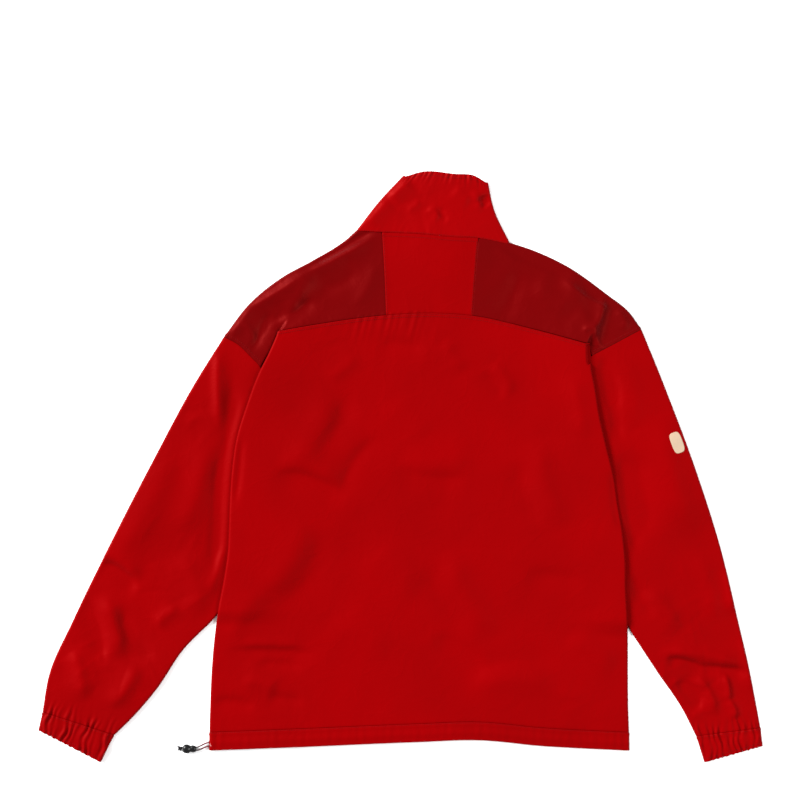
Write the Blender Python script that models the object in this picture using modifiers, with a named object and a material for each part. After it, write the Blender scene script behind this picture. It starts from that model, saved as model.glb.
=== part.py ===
"""Anorak pullover laid flat on its front, back side up.

The garment lies on the floor plane z = 0 with the collar towards +Y. The front panel and the sleeves lie on
the floor. Both sides of the back are rolled over the sleeves and turned under, as the cloth falls when the
sleeves are brought down beside the body. Lengths in the tables are millimetres; the meshes are in metres.
"""
import math

import bmesh
import bpy
import numpy as np
from mathutils import Matrix, Vector

MM = 0.001

# Cloth and layers
WALL = 1.6                                  # shell and lining together
FOLD_R = 2.2                                # middle of the wall, where a layer turns over
SEAM_GAP = 0.4
INSET = SEAM_GAP / 2
COLLAR_INSET = 0.55                         # the collar's base turns through a corner at each shoulder
EDGE = WALL / 2 + FOLD_R                    # from a silhouette to where both layers lie flat
FLOOR_MID = WALL / 2
TOP_MID = FLOOR_MID + 2 * FOLD_R
SLEEVE_LIFT = TOP_MID + WALL / 2 + 0.3      # a rolled side lies this much higher, on the sleeve
ARC = np.radians([0.0, 45.0, 90.0, 135.0, 180.0])

# Loft at the front of the neck, where the zip slider lies between floor and back
LOFT_X, LOFT_Y = 52.0, 282.0
FRONT_LOFT, FRONT_SPREAD = 4.8, 50.0
BACK_LOFT, BACK_SPREAD = 4.4, 62.0
COLLAR_LOFT = 3.0
ROLL_SPREAD = 60.0                          # least distance in which the lift of a rolled side fades
STRIP_SPREAD = 1.65                         # and that distance over the width of the strip it covers

# Body sides, hem seam to back seam: level y, rolled edge x, hidden side seam or armhole edge x
LEFT_SIDE = (
    (-358.0, -258.2, -251.5), (-320.0, -257.0, -249.5), (-280.0, -255.4, -247.0), (-245.0, -252.8, -238.0),
    (-215.0, -249.4, -226.0), (-192.0, -245.9, -212.5), (-150.0, -238.0, -187.0), (-115.0, -233.0, -167.0),
    (-83.0, -231.4, -151.5), (-51.3, -230.4, -152.5), (-5.0, -227.4, -156.5), (40.0, -220.8, -164.6),
    (85.0, -207.0, -177.5), (125.0, -192.0, -181.5), (158.0, -175.8, -169.0), (184.3, -164.7, -158.7),
)
RIGHT_SIDE = (
    (-358.0, 308.9, 302.5), (-325.0, 307.6, 300.0), (-290.0, 307.2, 298.0), (-260.0, 307.1, 294.0),
    (-232.0, 307.0, 286.0), (-204.0, 306.2, 274.5), (-165.0, 304.1, 257.0), (-125.0, 303.4, 241.0),
    (-88.0, 299.5, 232.0), (-51.3, 293.0, 228.8), (-10.0, 287.0, 231.0), (30.0, 277.5, 236.5),
    (70.0, 268.5, 243.0), (105.0, 263.0, 247.5), (138.0, 257.0, 249.5), (166.1, 255.8, 249.8),
)
UNDERARM_ROW = 9                            # the row of both tables that lies at the underarm
UNDER_RAMP = 5.0                            # at most, from a hidden armhole edge to the strip's next row
LIFT_LEVELS = {"left": (-215.0, -192.0, 184.3, 225.0), "right": (-232.0, -204.0, 166.1, 228.0)}
PLEATS = {"left": ((184.3, -164.7), (198.5, -155.9), (225.0, -137.0)),    # y, x of the roll's end in the yoke
          "right": ((166.1, 255.8), (187.7, 263.1), (228.0, 275.0))}

# Edges and seams, x, y
BACK_SEAM = ((-164.7, 184.3), (-108.7, 193.7), (-19.7, 205.2), (39.8, 207.9), (97.3, 204.5), (182.7, 185.8),
             (255.8, 166.1))
HEM_EDGE = ((-258.7, -382.8), (-134.3, -378.0), (26.3, -371.2), (104.6, -368.8), (189.7, -376.5),
            (309.4, -382.8))
HEM_DEPTH = 25.0
NECK_SEAM = ((-58.5, 320.6), (-26.6, 318.9), (25.0, 316.7), (73.3, 312.4), (106.5, 310.8), (147.3, 303.3))
FRONT_NECK = ((-58.5, 320.6), (-46.0, 280.0), (-12.0, 243.0), (44.0, 222.0), (98.0, 236.0), (134.0, 266.0),
              (147.3, 303.3))
COLLAR_TOP = ((4.5, 394.4), (30.2, 400.6), (73.3, 397.0), (102.6, 394.0), (118.1, 384.8))
COLLAR_FRONT_TOP = ((4.5, 394.4), (27.0, 335.0), (52.0, 302.0), (84.0, 330.0), (118.1, 384.8))
COLLAR_LEFT = ((-58.5, 320.6), (-28.4, 359.4), (4.5, 394.4))
COLLAR_RIGHT = ((147.3, 303.3), (126.6, 347.4), (118.1, 384.8))
SHOULDER = {"left": ((-58.5, 320.6), (-73.7, 307.0), (-119.5, 278.5), (-157.3, 257.9), (-204.5, 220.1),
                     (-238.4, 176.2)),
            "right": ((147.3, 303.3), (171.2, 295.7), (222.3, 272.8), (279.2, 233.0), (307.7, 210.3),
                      (325.6, 185.8))}
ARMHOLE = {"left": ((-238.4, 176.2), (-221.4, 166.7), (-204.4, 150.7), (-190.5, 136.0), (-178.9, 90.0),
                    (-164.0, 36.5), (-155.9, -51.3)),
           "right": ((325.6, 185.8), (296.3, 170.1), (269.3, 155.9), (260.0, 151.1), (246.4, 90.0),
                     (238.3, 23.0), (228.8, -51.3))}
ARMHOLE_SHOWN = 3                           # the armhole's point where it passes under the rolled side
SLEEVE_OUTER = {"left": ((-238.4, 176.2), (-276.1, 116.1), (-340.9, -4.1), (-396.2, -112.1),
                         (-442.1, -206.6), (-475.2, -282.2), (-483.6, -330.8)),
                "right": ((325.6, 185.8), (354.4, 114.8), (398.9, -4.1), (432.0, -108.0), (453.0, -195.0),
                          (471.8, -276.8), (486.2, -352.0))}
SLEEVE_INNER = {"left": ((-155.9, -51.3), (-200.5, -125.6), (-246.4, -198.5), (-293.6, -247.1),
                         (-330.1, -301.1), (-370.6, -347.0), (-387.0, -362.5)),
                "right": ((228.8, -51.3), (255.8, -118.8), (292.3, -190.4), (344.9, -274.1),
                          (381.4, -328.1), (399.5, -364.0))}
CUFF_END = {"left": ((-489.3, -356.0), (-404.7, -398.8)), "right": ((489.3, -377.0), (410.5, -399.1))}
YOKE_SIDE = {"left": ((-26.3, 319.1), (-22.8, 268.1), (-19.7, 205.2)),
             "right": ((106.5, 310.8), (102.0, 262.0), (97.3, 204.5))}
FRONT_YOKE_DEPTH = 0.19                     # share of the armhole and of the neckline in the shoulder's front

# Stations shared by the pieces that meet at a seam
BACK_COLUMNS = np.array([0.0, 0.08, 0.17, 0.26, 0.345, 0.437, 0.53, 0.623, 0.70, 0.78, 0.86, 0.93, 1.0])
YOKE_FIRST, YOKE_LAST = 4, 7                # the yoke's corners among them
SHOULDER_ROWS = np.linspace(0.0, 1.0, 6)
FRONT_YOKE_ROWS = np.array([0.0, 0.5, 1.0])

# Largest folds of the back and sleeves: start x, y, end x, y, height, half width
FOLDS = (
    (-88.0, 84.0, -136.0, 10.0, 2.2, 24.0), (-163.0, -14.0, -75.0, -42.0, 2.0, 24.0),
    (188.0, 23.0, 215.0, -72.0, 2.4, 24.0), (-136.0, -78.0, -225.0, -230.0, 2.6, 28.0),
    (67.0, -126.0, 121.0, -220.0, 2.2, 26.0), (53.0, -234.0, 202.0, -267.0, 2.4, 24.0),
    (-312.0, 20.0, -388.0, -120.0, 2.6, 26.0), (-400.0, -190.0, -350.0, -250.0, 2.2, 26.0),
    (352.0, 60.0, 392.0, -80.0, 2.6, 26.0), (370.0, -262.0, 452.0, -275.0, 2.2, 22.0),
)

# Front zip: line, opening, tape, slider and pull
ZIP_BOTTOM = (44.0, 75.0)
ZIP_NECK = (44.0, 222.0)
ZIP_TOP = (52.0, 301.0)
ZIP_SLOT = 6.0                              # half the opening's width
TAPE_WALL = 1.0
TAPE_INNER = 1.05                           # from the zip's middle to the tape's edge
SLIDER_WIDTH, SLIDER_LENGTH, SLIDER_PLATE = 8.0, 9.0, 0.9
SLIDER_AT = 289.0
SLIDER_CLEAR = 0.45
CROWN_WIDTH, CROWN_LENGTH, CROWN_BAR, CROWN_ROOM = 2.4, 7.0, 0.8, 1.7
PULL_WIDTH, PULL_LENGTH, PULL_WALL, PULL_WINDOW = 6.6, 22.0, 1.1, 7.0
PULL_BAR_R, PULL_EYE_R = 0.5, 1.4
PULL_ROOM = 0.5                             # between the pull's arms and the crown

# Hem drawcord, toggle and knot
CORD_R = 1.1
CORD_UPPER = ((-259.3, -372.0, 3.1), (-264.5, -373.9, 3.3), (-270.0, -376.5, 3.9), (-274.5, -378.4, 4.25),
              (-279.0, -378.7, 4.3), (-285.0, -378.7, 4.3), (-290.0, -378.7, 4.3), (-294.3, -378.7, 4.3))
CORD_LOWER = ((-259.3, -377.2, 3.0), (-264.5, -378.8, 3.2), (-270.0, -381.0, 3.9), (-274.5, -382.5, 4.25),
              (-279.0, -382.7, 4.3), (-285.0, -382.7, 4.3), (-290.0, -382.7, 4.3), (-294.3, -382.7, 4.3))
CORD_POINTS = 16
TOGGLE_CENTRE = (-284.9, -380.7, 4.3)
TOGGLE_PROFILE = ((-9.4, 0.0), (-9.2, 2.6), (-8.2, 4.6), (-6.2, 5.9), (-3.8, 6.2), (-0.9, 5.6), (0.6, 4.5),
                  (1.5, 4.25), (3.4, 4.8), (5.8, 4.75), (7.9, 4.1), (9.2, 2.7), (9.4, 0.0))
TOGGLE_FLAT = 0.68
TOGGLE_BORE_R = 1.45
TOGGLE_BORE_STEP = 2.0
KNOT_CENTRE = (-297.5, -379.9, 3.1)
KNOT_SIZE = (2.7, 3.6, 3.0)

COLOURS = {
    "red_shell": ((0.46, 0.004, 0.008), 0.62, 0.0),
    "dark_shell": ((0.19, 0.004, 0.008), 0.55, 0.0),
    "zip_tape": ((0.10, 0.004, 0.008), 0.8, 0.0),
    "zip_metal": ((0.05, 0.05, 0.055), 0.4, 0.6),
    "cord": ((0.16, 0.01, 0.02), 0.8, 0.0),
    "toggle": ((0.012, 0.012, 0.013), 0.32, 0.0),
}


def along(points, fractions):
    """Points at fractions of the length of the smooth curve through the given points."""
    points = np.array(points, dtype=float)
    lengths = np.linalg.norm(np.diff(points, axis=0), axis=1)
    knots = np.concatenate(([0.0], np.cumsum(lengths))) / lengths.sum()
    slopes = np.gradient(points, knots, axis=0)
    fractions = np.asarray(fractions, dtype=float)
    span = np.clip(np.searchsorted(knots, fractions, side="right") - 1, 0, len(lengths) - 1)
    step = (knots[span + 1] - knots[span])[:, None]
    t = ((fractions - knots[span]) / step[:, 0])[:, None]
    return ((2 * t**3 - 3 * t**2 + 1) * points[span] + (t**3 - 2 * t**2 + t) * step * slopes[span]
            + (3 * t**2 - 2 * t**3) * points[span + 1] + (t**3 - t**2) * step * slopes[span + 1])


def fraction_at(points, index):
    """Share of a curve's length, by chords, at one of its points."""
    lengths = np.linalg.norm(np.diff(np.array(points, dtype=float), axis=0), axis=1)
    return lengths[:index].sum() / lengths.sum()


def shares(edge):
    """Share of an edge's length at each of its points."""
    lengths = np.concatenate(([0.0], np.cumsum(np.linalg.norm(np.diff(edge, axis=0), axis=1))))
    return lengths / lengths[-1]


def smooth(t):
    t = np.clip(t, 0.0, 1.0)
    return t * t * (3 - 2 * t)


def coons(bottom, top, left, right):
    """Points inside four edges: both pairs blended, less the blend of the corners; rows run bottom to top."""
    u = ((shares(bottom) + shares(top)) / 2)[None, :, None]
    v = ((shares(left) + shares(right)) / 2)[:, None, None]
    corners = ((1 - u) * (1 - v) * bottom[0] + u * (1 - v) * bottom[-1]
               + (1 - u) * v * top[0] + u * v * top[-1])
    return ((1 - v) * bottom[None] + v * top[None] + (1 - u) * left[:, None] + u * right[:, None]) - corners


def inward(edge, towards):
    """Unit normals of an edge, on the side that the point lies on."""
    run = np.gradient(edge, axis=0)
    normal = np.stack((-run[:, 1], run[:, 0]), axis=1)
    normal /= np.linalg.norm(normal, axis=1)[:, None]
    side = np.sign(np.sum(normal * (np.array(towards) - edge), axis=1))
    return normal * side[:, None]


def turn(edge, normals, low):
    """Half-round turn of the cloth at an edge: rows from the lower layer out to the edge and back above it."""
    reach = WALL / 2 + FOLD_R * (1 - np.sin(ARC))
    rise = FOLD_R * (1 - np.cos(ARC))
    flat = edge[None] + normals[None] * reach[:, None, None]
    height = np.broadcast_to(low, (len(edge),))[None] + rise[:, None]
    return np.concatenate((flat, height[:, :, None]), axis=2)


def with_height(flat, height):
    return np.concatenate((flat, height(flat[..., 0], flat[..., 1])[..., None]), axis=-1)


def bell(x, y, spread):
    return np.exp(-((x - LOFT_X) ** 2 + (y - LOFT_Y) ** 2) / spread**2)


def side_lift(y, side):
    """Share of the full lift of a rolled side at a level: none at the hem and none past the yoke's pleat."""
    low, full, last, end = LIFT_LEVELS[side]
    return smooth((y - low) / (full - low)) * (1 - smooth((y - last) / (end - last)))


def roll_line(y, side):
    """x of the rolled edge, and above it of the pleat that carries on into the shoulder."""
    table = {"left": LEFT_SIDE, "right": RIGHT_SIDE}[side]
    levels = [row[0] for row in table] + [row[0] for row in PLEATS[side][1:]]
    places = [row[1] for row in table] + [row[1] for row in PLEATS[side][1:]]
    return np.interp(y, levels, places)


def roll_spread(y, side):
    """Distance in which the lift of a rolled side fades into the back, so that it clears the hidden strip."""
    levels, rolls, seams = np.array({"left": LEFT_SIDE, "right": RIGHT_SIDE}[side]).T
    return np.maximum(ROLL_SPREAD, STRIP_SPREAD * np.interp(y, levels, np.abs(rolls - seams)))


def folds(x, y):
    """Height of the largest folds: each a bell across a line, faded at its ends."""
    total = np.zeros_like(x)
    for x0, y0, x1, y1, height, half in FOLDS:
        run = np.array((x1 - x0, y1 - y0))
        length = np.hypot(*run)
        along_line = ((x - x0) * run[0] + (y - y0) * run[1]) / length
        across = ((x - x0) * run[1] - (y - y0) * run[0]) / length
        beyond = np.maximum(np.maximum(-along_line, along_line - length), 0.0)
        total += height * np.exp(-(across / half) ** 2 - (beyond / half) ** 2)
    return total


def top_height(x, y):
    """Middle of the upper layer of the body."""
    lift = 0.0
    for side, sign in (("left", 1.0), ("right", -1.0)):
        inside = (x - roll_line(y, side)) * sign - EDGE
        outside = smooth(1 + inside / 12.0) * smooth((y - LIFT_LEVELS[side][2]) / 18.0)
        fading = np.exp(-(inside / roll_spread(y, side)) ** 2)
        lift = lift + side_lift(y, side) * np.where(inside >= 0, fading, outside)
    return TOP_MID + SLEEVE_LIFT * lift + BACK_LOFT * bell(x, y, BACK_SPREAD) + folds(x, y)


def front_height(x, y):
    """Middle of the lower layer: on the floor, but for the loft at the neck."""
    return FLOOR_MID + FRONT_LOFT * bell(x, y, FRONT_SPREAD)


def hem_point(x, above):
    edge = along(HEM_EDGE, np.linspace(0.0, 1.0, 60))
    return np.stack((x, np.interp(x, edge[:, 0], edge[:, 1]) + above), axis=-1)


def shrink(grid, first_row=INSET, last_row=INSET, first_column=INSET, last_column=INSET):
    """Draws the free edges of a grid in, each by its own share of the seam's gap."""
    grid = grid.copy()
    for inset, here, following in ((first_row, 0, 1), (last_row, -1, -2)):
        run = grid[following] - grid[here]
        grid[here] += run / np.linalg.norm(run, axis=-1)[..., None] * inset
    for inset, here, following in ((first_column, 0, 1), (last_column, -1, -2)):
        run = grid[:, following] - grid[:, here]
        grid[:, here] += run / np.linalg.norm(run, axis=-1)[..., None] * inset
    return grid


def cloth(name, grid, material, wall=WALL, closed=False, open_from=None):
    """Wall of cloth on a grid of points: a Blender grid, moved to them and thickened both ways.

    closed joins the last column to the first. open_from, (row, column), leaves out that column's faces
    from that row on.
    """
    rows, columns = grid.shape[:2]
    body = bmesh.new()
    bmesh.ops.create_grid(body, x_segments=columns - 1, y_segments=rows - 1, size=1.0)
    body.verts.ensure_lookup_table()
    order = sorted(body.verts, key=lambda vert: (round(vert.co.y, 4), round(vert.co.x, 4)))
    place = {vert: divmod(number, columns) for number, vert in enumerate(order)}
    if open_from:
        slot = [face for face in body.faces
                if min(place[vert][1] for vert in face.verts) == open_from[1]
                and min(place[vert][0] for vert in face.verts) >= open_from[0]]
        bmesh.ops.delete(body, geom=slot, context="FACES")
    for vert, (row, column) in place.items():
        if vert.is_valid:
            vert.co = Vector(grid[row, column]) * MM
    if closed:
        bmesh.ops.remove_doubles(body, verts=body.verts[:], dist=0.00001)
    bmesh.ops.recalc_face_normals(body, faces=body.faces[:])
    piece = finished(name, body, material)
    solidify = piece.modifiers.new("wall", "SOLIDIFY")
    solidify.thickness = wall * MM
    solidify.offset = 0.0
    solidify.use_even_offset = True
    return piece


def finished(name, body, material):
    mesh = bpy.data.meshes.new(name)
    body.to_mesh(mesh)
    body.free()
    mesh.materials.append(material)
    piece = bpy.data.objects.new(name, mesh)
    PART.objects.link(piece)
    return piece



def tube(outer, inner, start, end, top, low, first_normals=None, last_normals=None):
    """Flattened tube between two silhouettes: lower layer, turn, upper layer, turn, closed on itself.

    start and end are the (upper, lower) edges across it, outer to inner. Normals given for the first or
    last row, (outer, inner), are those of the neighbour that shares the row.
    """
    middle = (outer + inner) / 2
    out_normal, in_normal = inward(outer, middle), inward(inner, middle)
    for row, given in ((0, first_normals), (-1, last_normals)):
        if given is not None:
            out_normal[row], in_normal[row] = given
    flat_outer, flat_inner = outer + out_normal * EDGE, inner + in_normal * EDGE
    layers = []
    for first, last in zip(start, end):
        first = between(first, flat_outer[0], flat_inner[0])
        last = between(last, flat_outer[-1], flat_inner[-1])
        layers.append(coons(first, last, flat_outer, flat_inner))
    upper, lower = with_height(layers[0], top), with_height(layers[1], low)
    turns = [np.swapaxes(turn(edge, normals, low(edge[:, 0], edge[:, 1])), 0, 1)
             for edge, normals in ((outer, out_normal), (inner, in_normal))]
    return np.concatenate((lower[:, ::-1], turns[0][:, 1:], upper[:, 1:], turns[1][:, ::-1][:, 1:]), axis=1)


def between(edge, first, last):
    """An edge with its two ends moved to new places and the rest carried with them."""
    t = shares(edge)[:, None]
    return edge + (1 - t) * (first - edge[0]) + t * (last - edge[-1])


def corner_normal(before, after, towards):
    """Unit normal where two silhouettes run on into each other."""
    run = np.array(after) - np.array(before)
    normal = np.array((-run[1], run[0])) / np.hypot(*run)
    return normal * np.sign(np.dot(normal, np.array(towards) - np.array(before)))


def shoulder_normals(side):
    """Normals at the shoulder point and at the underarm, into the sleeve."""
    hand = CUFF_END[side][0]
    return (corner_normal(SHOULDER[side][-2], SLEEVE_OUTER[side][1], (0.0, 0.0)),
            corner_normal(SLEEVE_INNER[side][0], SLEEVE_INNER[side][1], (hand[0], 0.0)))


def neck_normal(side):
    collar = {"left": COLLAR_LEFT, "right": COLLAR_RIGHT}[side]
    return corner_normal(collar[1], SHOULDER[side][1], ZIP_NECK)


def armhole(side, fractions):
    at_shoulder, at_underarm = shoulder_normals(side)
    share = np.asarray(fractions)[:, None]
    return along(ARMHOLE[side], fractions) + ((1 - share) * at_shoulder + share * at_underarm) * EDGE


def neck_edge(points, fractions):
    share = np.asarray(fractions)[:, None]
    ends = (1 - share) * neck_normal("left") + share * neck_normal("right")
    return along(points, fractions) + ends * EDGE


def neck_share(x):
    """Share of the front neckline's length at an x."""
    fractions = np.linspace(0.0, 1.0, 400)
    return np.interp(x, neck_edge(FRONT_NECK, fractions)[:, 0], fractions)


def shown_share(side):
    return fraction_at(ARMHOLE[side], ARMHOLE_SHOWN)


def front_armhole_shares():
    return np.linspace(1.0, FRONT_YOKE_DEPTH, 6)


def seam_points():
    x = BACK_SEAM[0][0] + (BACK_SEAM[-1][0] - BACK_SEAM[0][0]) * BACK_COLUMNS
    curve = along(BACK_SEAM, np.linspace(0.0, 1.0, 80))
    return np.stack((x, np.interp(x, curve[:, 0], curve[:, 1])), axis=-1)


def yoke_shares():
    """Shares of the neck seam at the yoke's columns."""
    first = fraction_at(NECK_SEAM, 1)
    last = fraction_at(NECK_SEAM, 4)
    return np.linspace(first, last, YOKE_LAST - YOKE_FIRST + 1)


def yoke_side(side):
    corner = neck_edge(NECK_SEAM, yoke_shares()[[0 if side == "left" else -1]])[0]
    seam = seam_points()[YOKE_FIRST if side == "left" else YOKE_LAST]
    return between(along(YOKE_SIDE[side], SHOULDER_ROWS[:-1] / SHOULDER_ROWS[-2]), corner, seam)


def sleeve_inner_x(y, side):
    line = np.array(SLEEVE_INNER[side])[::-1]
    return np.interp(y, line[:, 1], line[:, 0])


def turned_under(side, sign):
    """Hidden strip and turn of one rolled side, from the side seam out to the roll."""
    table = np.array({"left": LEFT_SIDE, "right": RIGHT_SIDE}[side])
    levels, rolls, seams = table.T
    low = FLOOR_MID + SLEEVE_LIFT * side_lift(levels, side)
    at_seam = np.where(np.arange(len(levels)) < UNDERARM_ROW, FLOOR_MID, low)
    clear = sleeve_inner_x(levels, side) + sign * 4.5
    inside_roll, inside_seam = rolls + sign * (EDGE + 1.5), seams - sign * 1.5
    ramp = np.clip(clear, np.minimum(inside_roll, inside_seam), np.maximum(inside_roll, inside_seam))
    under_ramp = np.minimum(UNDER_RAMP, 0.4 * (np.abs(rolls - seams) - EDGE))
    ramp = np.where(np.arange(len(levels)) < UNDERARM_ROW, ramp, seams - sign * under_ramp)
    strip = np.stack((np.stack((seams, levels, at_seam), axis=-1), np.stack((ramp, levels, low), axis=-1)), axis=1)
    edge = np.stack((rolls, levels), axis=-1)
    normals = np.tile((sign, 0.0), (len(levels), 1))
    return strip, edge, normals, np.swapaxes(turn(edge, normals, low), 0, 1)


def make_back(material):
    """Lower back: hidden strip, turn, upper layer, turn, hidden strip."""
    left_strip, left_edge, left_normals, left_turn = turned_under("left", 1.0)
    right_strip, right_edge, right_normals, right_turn = turned_under("right", -1.0)
    left, right = left_edge + left_normals * EDGE, right_edge + right_normals * EDGE
    columns_x = left[0, 0] + (right[0, 0] - left[0, 0]) * BACK_COLUMNS
    bottom = between(hem_point(columns_x, HEM_DEPTH), left[0], right[0])
    top = between(seam_points(), left[-1], right[-1])
    upper = with_height(coons(bottom, top, left, right), top_height)
    grid = np.concatenate((left_strip, left_turn, upper[:, 1:-1], right_turn[:, ::-1], right_strip[:, ::-1]), axis=1)
    return cloth("back", shrink(grid), material)


def make_yoke(material):
    """Centre back yoke between the shoulders, from the neck to the lower back."""
    top = neck_edge(NECK_SEAM, yoke_shares())
    bottom = seam_points()[YOKE_FIRST:YOKE_LAST + 1]
    left, right = yoke_side("left")[::-1], yoke_side("right")[::-1]
    return cloth("back_yoke", shrink(with_height(coons(bottom, top, left, right), top_height)), material)


def make_shoulder(side, material):
    """Shoulder: front yoke on the floor, turn at the shoulder line, back shoulder down to the lower back."""
    seam = seam_points()
    order = range(YOKE_FIRST, 0, -1) if side == "left" else range(YOKE_LAST, len(seam) - 1)
    sign = 1.0 if side == "left" else -1.0
    corner = np.array(BACK_SEAM[0] if side == "left" else BACK_SEAM[-1]) + (-0.6 * sign, 0.5)
    armhole_back = armhole(side, shown_share(side) * SHOULDER_ROWS)
    last = armhole_back[-1]
    hidden = np.array((roll_line((corner[1] + last[1]) / 2, side) - 0.3 * sign, (corner[1] + last[1]) / 2))
    inner = np.array([seam[number] for number in order] + [corner, hidden, last])
    line = along(SHOULDER[side], shares(inner))
    normals = inward(line, (ZIP_NECK[0], 0.0))
    normals[0], normals[-1] = neck_normal(side), shoulder_normals(side)[0]
    outer = line + normals * EDGE
    neck_end = np.concatenate((outer[:1], yoke_side(side)))
    back_part = with_height(coons(outer, inner, neck_end, armhole_back), top_height)
    neck_rows = FRONT_YOKE_DEPTH * FRONT_YOKE_ROWS
    neck_front = neck_edge(FRONT_NECK, neck_rows if side == "left" else 1 - neck_rows)
    armhole_front = armhole(side, neck_rows)
    share = shares(outer)[:, None]
    yoke_line = (1 - share) * neck_front[-1] + share * armhole_front[-1]
    front_part = with_height(coons(outer, yoke_line, neck_front, armhole_front), front_height)
    rolled = turn(line, normals, front_height(line[:, 0], line[:, 1]))
    grid = np.concatenate((front_part[::-1], rolled[1:], back_part[1:]), axis=0)
    return cloth(f"shoulder_{side}", shrink(grid), material)


def sleeve_top(side, sign):
    def height(x, y):
        """Upper layer of a sleeve: flat under the rolled side of the back, with its folds beyond it."""
        outside = (roll_line(y, side) - x) * sign
        return TOP_MID + folds(x, y) * smooth((outside - 6.0) / 30.0)
    return height


def make_sleeve(side, material):
    """Sleeve: a flattened tube from the armhole to the cuff."""
    rows = np.linspace(0.0, 1.0, 15)
    outer, inner = along(SLEEVE_OUTER[side], rows), along(SLEEVE_INNER[side], rows)
    shown = shown_share(side)
    upper_shares = np.concatenate((shown * SHOULDER_ROWS, np.linspace(shown, 1.0, 5)[1:]))
    lower_shares = np.concatenate((FRONT_YOKE_DEPTH * FRONT_YOKE_ROWS, front_armhole_shares()[::-1][1:]))
    start = (armhole(side, upper_shares), armhole(side, lower_shares))
    end = [outer[-1] + np.linspace(0.0, 1.0, len(edge))[:, None] * (inner[-1] - outer[-1]) for edge in start]
    grid = tube(outer, inner, start, end, sleeve_top(side, 1.0 if side == "left" else -1.0), front_height,
                shoulder_normals(side), cuff_normals(side))
    return cloth(f"sleeve_{side}", shrink(grid, first_column=0.0, last_column=0.0), material, closed=True)


def cuff_normals(side):
    outer, inner = SLEEVE_OUTER[side], SLEEVE_INNER[side]
    return (corner_normal(outer[-2], CUFF_END[side][0], inner[-1]),
            corner_normal(inner[-2], CUFF_END[side][1], outer[-1]))


def make_cuff(side, material):
    """Cuff: the elastic's casing at the end of a sleeve."""
    rows = np.linspace(0.0, 1.0, 4)[:, None]
    ends = [np.array(line[-1]) for line in (SLEEVE_OUTER[side], SLEEVE_INNER[side])]
    outer, inner = (end + rows * (np.array(far) - end) for end, far in zip(ends, CUFF_END[side]))
    across = [np.linspace(0.0, 1.0, count)[:, None] for count in (10, 8)]
    start = [outer[0] + share * (inner[0] - outer[0]) for share in across]
    end = [outer[-1] + share * (inner[-1] - outer[-1]) for share in across]
    grid = tube(outer, inner, start, end, lambda x, y: np.full_like(x, TOP_MID), front_height,
                first_normals=cuff_normals(side))
    return cloth(f"cuff_{side}", shrink(grid, first_column=0.0, last_column=0.0), material, closed=True)


def make_hem(material):
    """Hem casing round the whole body."""
    rows = np.linspace(0.0, 1.0, 4)[:, None]
    outer, inner = (np.array((table[0][1], table[0][0])) + rows * (np.array(end) - (table[0][1], table[0][0]))
                    for table, end in ((LEFT_SIDE, HEM_EDGE[0]), (RIGHT_SIDE, HEM_EDGE[-1])))
    x = outer[0, 0] + EDGE + (inner[0, 0] - outer[0, 0] - 2 * EDGE) * BACK_COLUMNS
    start, end = hem_point(x, HEM_DEPTH), hem_point(x, 0.0)
    normals = (np.array((1.0, 0.0)), np.array((-1.0, 0.0)))
    grid = tube(outer, inner, (start, start), (end, end), top_height, front_height, normals, normals)
    return cloth("hem", shrink(grid, last_row=0.0, first_column=0.0, last_column=0.0), material, closed=True)


def zip_x(y):
    return np.interp(y, (ZIP_BOTTOM[1], ZIP_NECK[1], ZIP_TOP[1]), (ZIP_BOTTOM[0], ZIP_NECK[0], ZIP_TOP[0]))


def make_front(material):
    """Front panel, flat on the floor, with the zip's opening down from the neck."""
    halves = []
    armhole_rows = front_armhole_shares()
    slot_row = UNDERARM_ROW + 2
    for side, sign, table in (("left", 1.0, LEFT_SIDE), ("right", -1.0, RIGHT_SIDE)):
        seam = np.array(table)[:UNDERARM_ROW, [2, 0]] + (sign * 0.7, 0.0)
        underarm = np.array(ARMHOLE[side][-1]) - shoulder_normals(side)[1] * 0.6
        edge = np.concatenate((seam, underarm[None], armhole(side, armhole_rows[1:])))
        slot_x = ZIP_NECK[0] - sign * ZIP_SLOT
        slot_share = neck_share(slot_x)
        neck_from = FRONT_YOKE_DEPTH if side == "left" else 1 - FRONT_YOKE_DEPTH
        neckline = neck_edge(FRONT_NECK, np.linspace(neck_from, slot_share, 4))
        share = np.linspace(0.0, 1.0, 4)[:-1, None]
        top = np.concatenate(((1 - share) * edge[-1] + share * neckline[0], neckline))
        bottom = hem_point(np.linspace(edge[0, 0], slot_x, len(top)), HEM_DEPTH)
        bottom = between(bottom, edge[0], bottom[-1])
        rows = np.interp(np.arange(len(edge)), (0, slot_row, len(edge) - 1),
                         (bottom[-1, 1], ZIP_BOTTOM[1], top[-1, 1]))
        middle = np.stack((np.full(len(rows), slot_x), rows), axis=-1)
        halves.append(coons(bottom, top, edge, middle))
    grid = np.concatenate((halves[0], halves[1][:, ::-1]), axis=1)
    grid = shrink(with_height(grid, front_height))
    return cloth("front", grid, material, open_from=(slot_row, halves[0].shape[1] - 1))


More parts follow.
